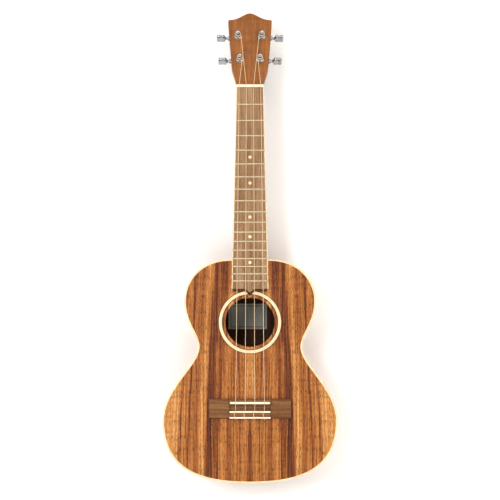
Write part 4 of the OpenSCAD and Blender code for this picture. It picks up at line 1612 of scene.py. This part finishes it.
@dataclass
class Machines(PartMaker):
    """The four geared tuners: sealed cases, posts, buttons, bushings, washers and screws.

    Attributes:
        back: Height of the headstock's rear face, measured from its front.
        floor_z: Height of the cases' rear face.
        worm: Place of the worm's axis, y and z, measured from the post.
        post_r: Radius of a post.
        gap: Running clearance.
        shaft_r: Radius of the shaft.
        case_out: How far the case reaches outwards.
        ear_x: Place of the screw ear.
        button: Where the button starts and ends along the shaft.
    """

    back: float = -13.0
    floor_z: float = -22.0
    worm: Flat = (6.4, -17.5)
    post_r: float = 3.0
    gap: float = 0.05
    shaft_r: float = 2.0
    case_out: float = 12.0
    ear_x: float = -9.0
    button: Flat = (17.5, 31.0)

    def place(self, tuner: Tuner) -> Matrix:
        """From a tuner's own axes, x outwards, y to the tip and z up, to the instrument."""
        shift = Matrix.Translation((tuner.side * tuner.x, tuner.s, 0))
        return self.at.head() @ shift @ Matrix.Diagonal((tuner.side, 1, 1, 1))

    def along(self, profile: Sequence[Flat], count: int = 40) -> list[Ring]:
        """Rings of a turned shape on the shaft's axis.

        Args:
            profile: Radius and place along the shaft of each ring.
            count: Points round it.

        Returns:
            The rings.
        """
        y, z = self.worm
        return [[(x, y + u, z + v) for u, v in circle(max(r, 1e-4), count)] for r, x in profile]

    def case(self, tuner: Tuner) -> None:
        """The sealed die-cast case with its screw ear and the collar round the shaft.

        Args:
            tuner: The tuner it belongs to.
        """
        low, high = (-6.5, -6.4), (self.case_out, 10.6)
        place = self.place(tuner)
        shell = rounded_box(low, high, 2.4, 8)
        profile = [(0.0, self.back), (0.0, self.back - 0.9), (0.14, self.back - 1.2),
                   (0.14, self.floor_z + 1.8)]
        profile += [(0.14 + into, self.floor_z + down) for into, down in quarter_round(1.5, 6)[1:]]
        case = Skin().add([at_height(inset_loop(shell, far), z) for far, z in profile])
        case = case.build(f"sealed_case_{tuner.letter}", place)
        ear = rounded_box((self.ear_x - 3.2, -3.2), (-5.0, 3.2), 3.15, 12)
        profile = [(0.0, self.back), (0.0, self.back - 0.9), (0.1, self.back - 1.12), (0.35, self.back - 1.2)]
        lug = Skin().add([at_height(inset_loop(ear, far), z) for far, z in profile])
        carve(case, lug.build("ear", place), Carving.MERGE)
        collar = self.along([(3.4, self.case_out - 1), (3.4, 13.2), (3.15, 13.35), (3.15, 13.7), (3.4, 13.85),
                             (3.4, 15.0), (3.1, 15.3)])
        carve(case, Skin().add(collar).build("collar", place), Carving.MERGE)
        bore = lathe([(self.post_r + self.gap, self.floor_z + 1.5), (self.post_r + self.gap, self.back + 1)])
        wheel = lathe([(5.2, self.worm[1] - 1.4), (5.2, self.worm[1] + 1.4)])
        worm_room = self.along([(3.0, -4.2), (3.0, 4.2)])
        shaft = self.along([(self.shaft_r + self.gap, -5.8), (self.shaft_r + self.gap, 24.0)])
        screw = lathe([(1.1, self.back - 2), (1.1, self.back + 1)], 24, (self.ear_x, 0.0))
        for rings in (bore, wheel, worm_room, shaft, screw):
            carve(case, Skin().add(rings).build("case_cutter", place), Carving.CUT)
        self.swap(case, self.fin.chrome, "chrome", f"tuner_case_{tuner.letter}")

    def post(self, tuner: Tuner) -> None:
        """The string post: a turned rod with a slim waist, a string hole and a dished top.

        Args:
            tuner: The tuner it belongs to.
        """
        r, low = self.post_r, self.floor_z + 1.6
        profile = [(r - 0.3, low), (r, low + 0.3), (r, 4.6), (r - 0.06, 5.0), (r - 0.06, 8.8), (r, 9.1),
                   (r, 11.6), (r - 0.12, 11.95), (r - 0.42, 12.3), (r - 0.75, 12.45), (r - 1.1, 12.5),
                   (r - 1.35, 12.35),
                   (0.5, 12.15)]
        place = self.place(tuner)
        post = Skin().add(lathe(profile)).build(f"string_post_{tuner.letter}", place)
        hole = [[(x, u, 10 + v) for u, v in circle(0.7, 20)] for x in (-5.0, 5.0)]
        carve(post, Skin().add(hole).build("post_drill", place), Carving.CUT)
        self.swap(post, self.fin.chrome, "chrome", f"tuner_post_{tuner.letter}", body=f"post_{tuner.letter}")

    def knob(self, tuner: Tuner) -> None:
        """The button: a flattened paddle with full rims and a waisted middle, on a tapered neck.

        Args:
            tuner: The tuner it belongs to.
        """
        start, end = self.button
        y0, z0 = self.worm
        stations = (
            (0.0, 2.7, 2.4), (0.5, 2.85, 2.5), (1.1, 3.3, 2.7), (1.7, 4.9, 3.1), (2.1, 6.3, 3.4),
            (2.7, 7.3, 3.55), (3.6, 7.9, 3.45), (4.8, 8.1, 3.05), (6.7, 8.1, 2.6), (8.6, 8.1, 2.75),
            (10.2, 8.0, 3.15), (11.5, 7.7, 3.5), (12.2, 7.2, 3.55), (12.8, 6.5, 3.35), (13.2, 5.7, 2.95),
            (13.42, 4.9, 2.4), (13.5, 4.1, 1.9))
        rings = []
        for along, half_h, half_t in stations:
            ring = []
            for i in range(56):
                a = math.tau * i / 56
                c, s = math.cos(a), math.sin(a)
                squareness = 2 / (2.0 + 0.5 * min(along / 2.0, 1.0))
                ring.append((start + along, y0 + half_t * math.copysign(abs(c) ** squareness, c),
                             z0 + half_h * math.copysign(abs(s) ** squareness, s)))
            rings.append(ring)
        button = Skin().add(rings).build(f"cast_button_{tuner.letter}", self.place(tuner), crease=45)
        bore = self.along([(self.shaft_r + 0.01, start - 1), (self.shaft_r + 0.01, end - 3)])
        carve(button, Skin().add(bore).build("button_drill", self.place(tuner)), Carving.CUT)
        button.data.set_sharp_from_angle(angle=math.radians(45))
        self.swap(button, self.fin.chrome, "chrome", f"tuner_button_{tuner.letter}",
                  body=f"knob_{tuner.letter}")

    def bushings(self) -> None:
        """Hexagonal bushings with chamfered corners, on washers with a soft rim."""
        nuts, rings_under = Skin(), Skin()
        points = 72

        def hexagon(limit: float, z: float) -> Ring:
            """A hexagon whose corners are turned down to a radius.

            Args:
                limit: That radius.
                z: Its height.

            Returns:
                The ring.
            """
            ring = []
            for i in range(points):
                a = math.tau * i / points
                flat = 4.9 * math.cos(math.pi / 6) / math.cos((a % (math.pi / 3)) - math.pi / 6)
                r = min(flat, limit)
                ring.append((r * math.cos(a), r * math.sin(a), z))
            return ring

        bore = self.post_r + self.gap
        for tuner in TUNERS:
            place = self.place(tuner)
            body = [hexagon(4.65, 0.8), hexagon(4.9, 1.05), hexagon(4.9, 2.65), hexagon(4.55, 2.95),
                    hexagon(4.2, 3.2), hexagon(4.05, 3.3)]
            body += lathe([(bore + 0.35, 3.3), (bore + 0.08, 3.18), (bore, 2.9), (bore, -8.0), (3.99, -8.0),
                           (3.99, 0.8)], points)
            disc = lathe([(4.0, 0.0), (5.4, 0.0), (5.4, 0.35), (5.3, 0.6), (5.1, 0.75), (4.85, 0.8),
                          (4.0, 0.8)], points)
            for skin, rings in ((nuts, body), (rings_under, disc)):
                skin.add(moved(rings, place), wrap=True)
        self.swap(nuts.build("hex_bushings", crease=25), self.fin.chrome, "chrome", "tuner_bushings")
        self.swap(rings_under.build("face_washers", crease=40), self.fin.chrome, "chrome", "tuner_washers")

    def screws(self) -> None:
        """Pan-head screws with crossed slots, one through each ear."""
        skin, arms = Skin(), (Skin(), Skin())
        under = self.back - 1.2
        for tuner in TUNERS:
            place = self.place(tuner)
            centre = (self.ear_x, 0.0)
            profile = [(0.95, self.back + 6), (0.95, under), (2.0, under), (2.0, under - 0.45),
                       (1.85, under - 0.8), (1.4, under - 1.02), (0.7, under - 1.1)]
            skin.add(moved(lathe(profile, 32, centre), place))
            for slots, wide, long in ((arms[0], 0.2, 1.2), (arms[1], 1.2, 0.2)):
                arm = rounded_box((self.ear_x - wide, -long), (self.ear_x + wide, long), 0.1, 3)
                rings = [at_height(arm, under - 1.5), at_height(arm, under - 0.5)]
                slots.add(moved(rings, place))
        piece = skin.build("ear_screws")
        for slots in arms:
            carve(piece, slots.build("driver_cutter"), Carving.CUT)
        self.swap(piece, self.fin.chrome, "chrome", "tuner_screws")

    def make(self) -> None:
        """Builds the four tuners."""
        for tuner in TUNERS:
            self.case(tuner)
            self.post(tuner)
            self.knob(tuner)
            self.dress(self.fin.chrome, f"worm_shaft_{tuner.letter}")
            self.dress(self.fin.brass, f"worm_wheel_{tuner.letter}")
        self.bushings()
        self.screws()


# ---------------------------------------------------------------- studio


@dataclass
class Studio:
    """A white table top under soft boxes, seen from above by a long lens.

    Attributes:
        places: Main positions of the instrument.
        distance: Distance of the camera in millimetres.
        lean: How far the camera leans towards the tail, in degrees.
        lens: Focal length in millimetres.
        aim: How far from the nut towards the body the camera points.
        floor_half: Half the side of the table top.
        box_level: Brightness of the overhead soft boxes.
    """

    places: Places
    distance: float = 1500.0
    lean: float = 7.06
    lens: float = 79.19
    aim: float = 227.84
    floor_half: float = 700.0
    box_level: float = 2.35

    def table_top(self) -> None:
        """A large white sheet that the instrument lies on."""
        half = self.floor_half
        outline = rounded_box((-half, -half), (half, half), 120)
        sheet = Skin().add([at_height(outline, z) for z in (-4.0, 0.0)])
        piece = sheet.build("studio_floor")
        material = blank_material("matt_white_board")
        tree = material.node_tree
        place = add(tree, "TexCoord").outputs["Object"]
        clouds = add(tree, "TexNoise", {"Vector": place, "Scale": 3.0})
        shade = add(tree, "ValToRGB", {0: clouds.outputs[0]})
        set_stops(shade.color_ramp, [(0.2, "#fcfcfc"), (0.8, "#ffffff")])
        shader = add(tree, "BsdfPrincipled", {"Base Color": shade.outputs[0], "Roughness": 0.9})
        add(tree, "OutputMaterial", {"Surface": shader.outputs[0]})
        piece.data.materials.append(material)

    def sky(self) -> None:
        """Lights the studio from all round.

        Two long soft boxes stand beyond the tip and the tail. It is dark between and under them, so that
        metal has edges, and the backdrop is white.
        """
        world = bpy.data.worlds.new("studio_light")
        bpy.context.scene.world = world
        world.use_nodes = True
        tree = world.node_tree
        tree.nodes.clear()
        place = add(tree, "TexCoord").outputs["Generated"]
        axes = add(tree, "SeparateXYZ", {0: place})
        length = add(tree, "Math", {0: axes.outputs[1]}, operation="ABSOLUTE")
        away = add(tree, "MapRange", {0: length.outputs[0], 1: 0.2, 2: 0.36, 3: 0.02, 4: 1.0},
                   interpolation_type="SMOOTHSTEP")
        above = add(tree, "MapRange", {0: axes.outputs[2], 1: 0.5, 2: 0.62, 3: 0.0, 4: 1.0},
                    interpolation_type="SMOOTHSTEP")
        boxes = add(tree, "Math", {0: away.outputs[0], 1: above.outputs[0]}, operation="MULTIPLY")
        under = add(tree, "MapRange", {0: axes.outputs[2], 1: 0.1, 2: 0.16, 3: 1.0, 4: 0.01},
                    interpolation_type="SMOOTHSTEP")
        level = add(tree, "Math", {0: boxes.outputs[0], 1: self.box_level, 2: under.outputs[0]},
                    operation="MULTIPLY_ADD")
        light = add(tree, "Background", {"Strength": level.outputs[0]})
        light.inputs[0].default_value = linear("#fffaf2")
        add(tree, "OutputWorld", {0: light.outputs[0]})

    def lamp(self, name: str, place: Point, size: float, power: float) -> None:
        """A square soft box that faces the instrument.

        Args:
            name: Its name.
            place: Where it stands, in metres.
            size: Its side in metres.
            power: Its power in watts.
        """
        light = bpy.data.lights.new(name, "AREA")
        light.shape = "SQUARE"
        light.size = size
        light.energy = power
        lamp = bpy.data.objects.new(name, light)
        lamp.location = place
        lamp.rotation_euler = Vector(place).to_track_quat("Z", "Y").to_euler()
        bpy.context.scene.collection.objects.link(lamp)

    def camera(self) -> None:
        """A camera over the instrument, upright to it."""
        data = bpy.data.cameras.new("overhead_camera")
        data.lens = self.lens
        data.sensor_width = 36.0
        data.clip_end = 20.0
        camera = bpy.data.objects.new("overhead_camera", data)
        aim = Vector((0, self.places.nut_y - self.aim, self.places.board_z)) * MM
        lean = math.radians(self.lean)
        back = Vector((0, -math.sin(lean), math.cos(lean)))
        camera.location = aim + back * self.distance * MM
        camera.rotation_euler = back.to_track_quat("Z", "Y").to_euler()
        bpy.context.scene.collection.objects.link(camera)
        bpy.context.scene.camera = camera
        # Colours shown as they are, with no film curve
        bpy.context.scene.view_settings.view_transform = "Standard"

    def make(self) -> None:
        """Sets up floor, light and camera."""
        self.table_top()
        self.sky()
        self.lamp("key_softbox", (-0.85, 0.1, 1.75), 0.6, 16.0)
        self.lamp("fill_softbox", (1.4, -0.3, 1.5), 1.4, 14.0)
        self.camera()


def main() -> None:
    """Builds the instrument, then the studio."""
    logging.basicConfig(level=logging.INFO, format="%(message)s")
    places, finishes = Places.read(), Finishes()
    for maker in (SoundBox(places, finishes), Neck(places, finishes), StringRun(places, finishes),
                  Machines(places, finishes)):
        maker.make()
    Studio(places).make()


if __name__ == "__main__":
    main()
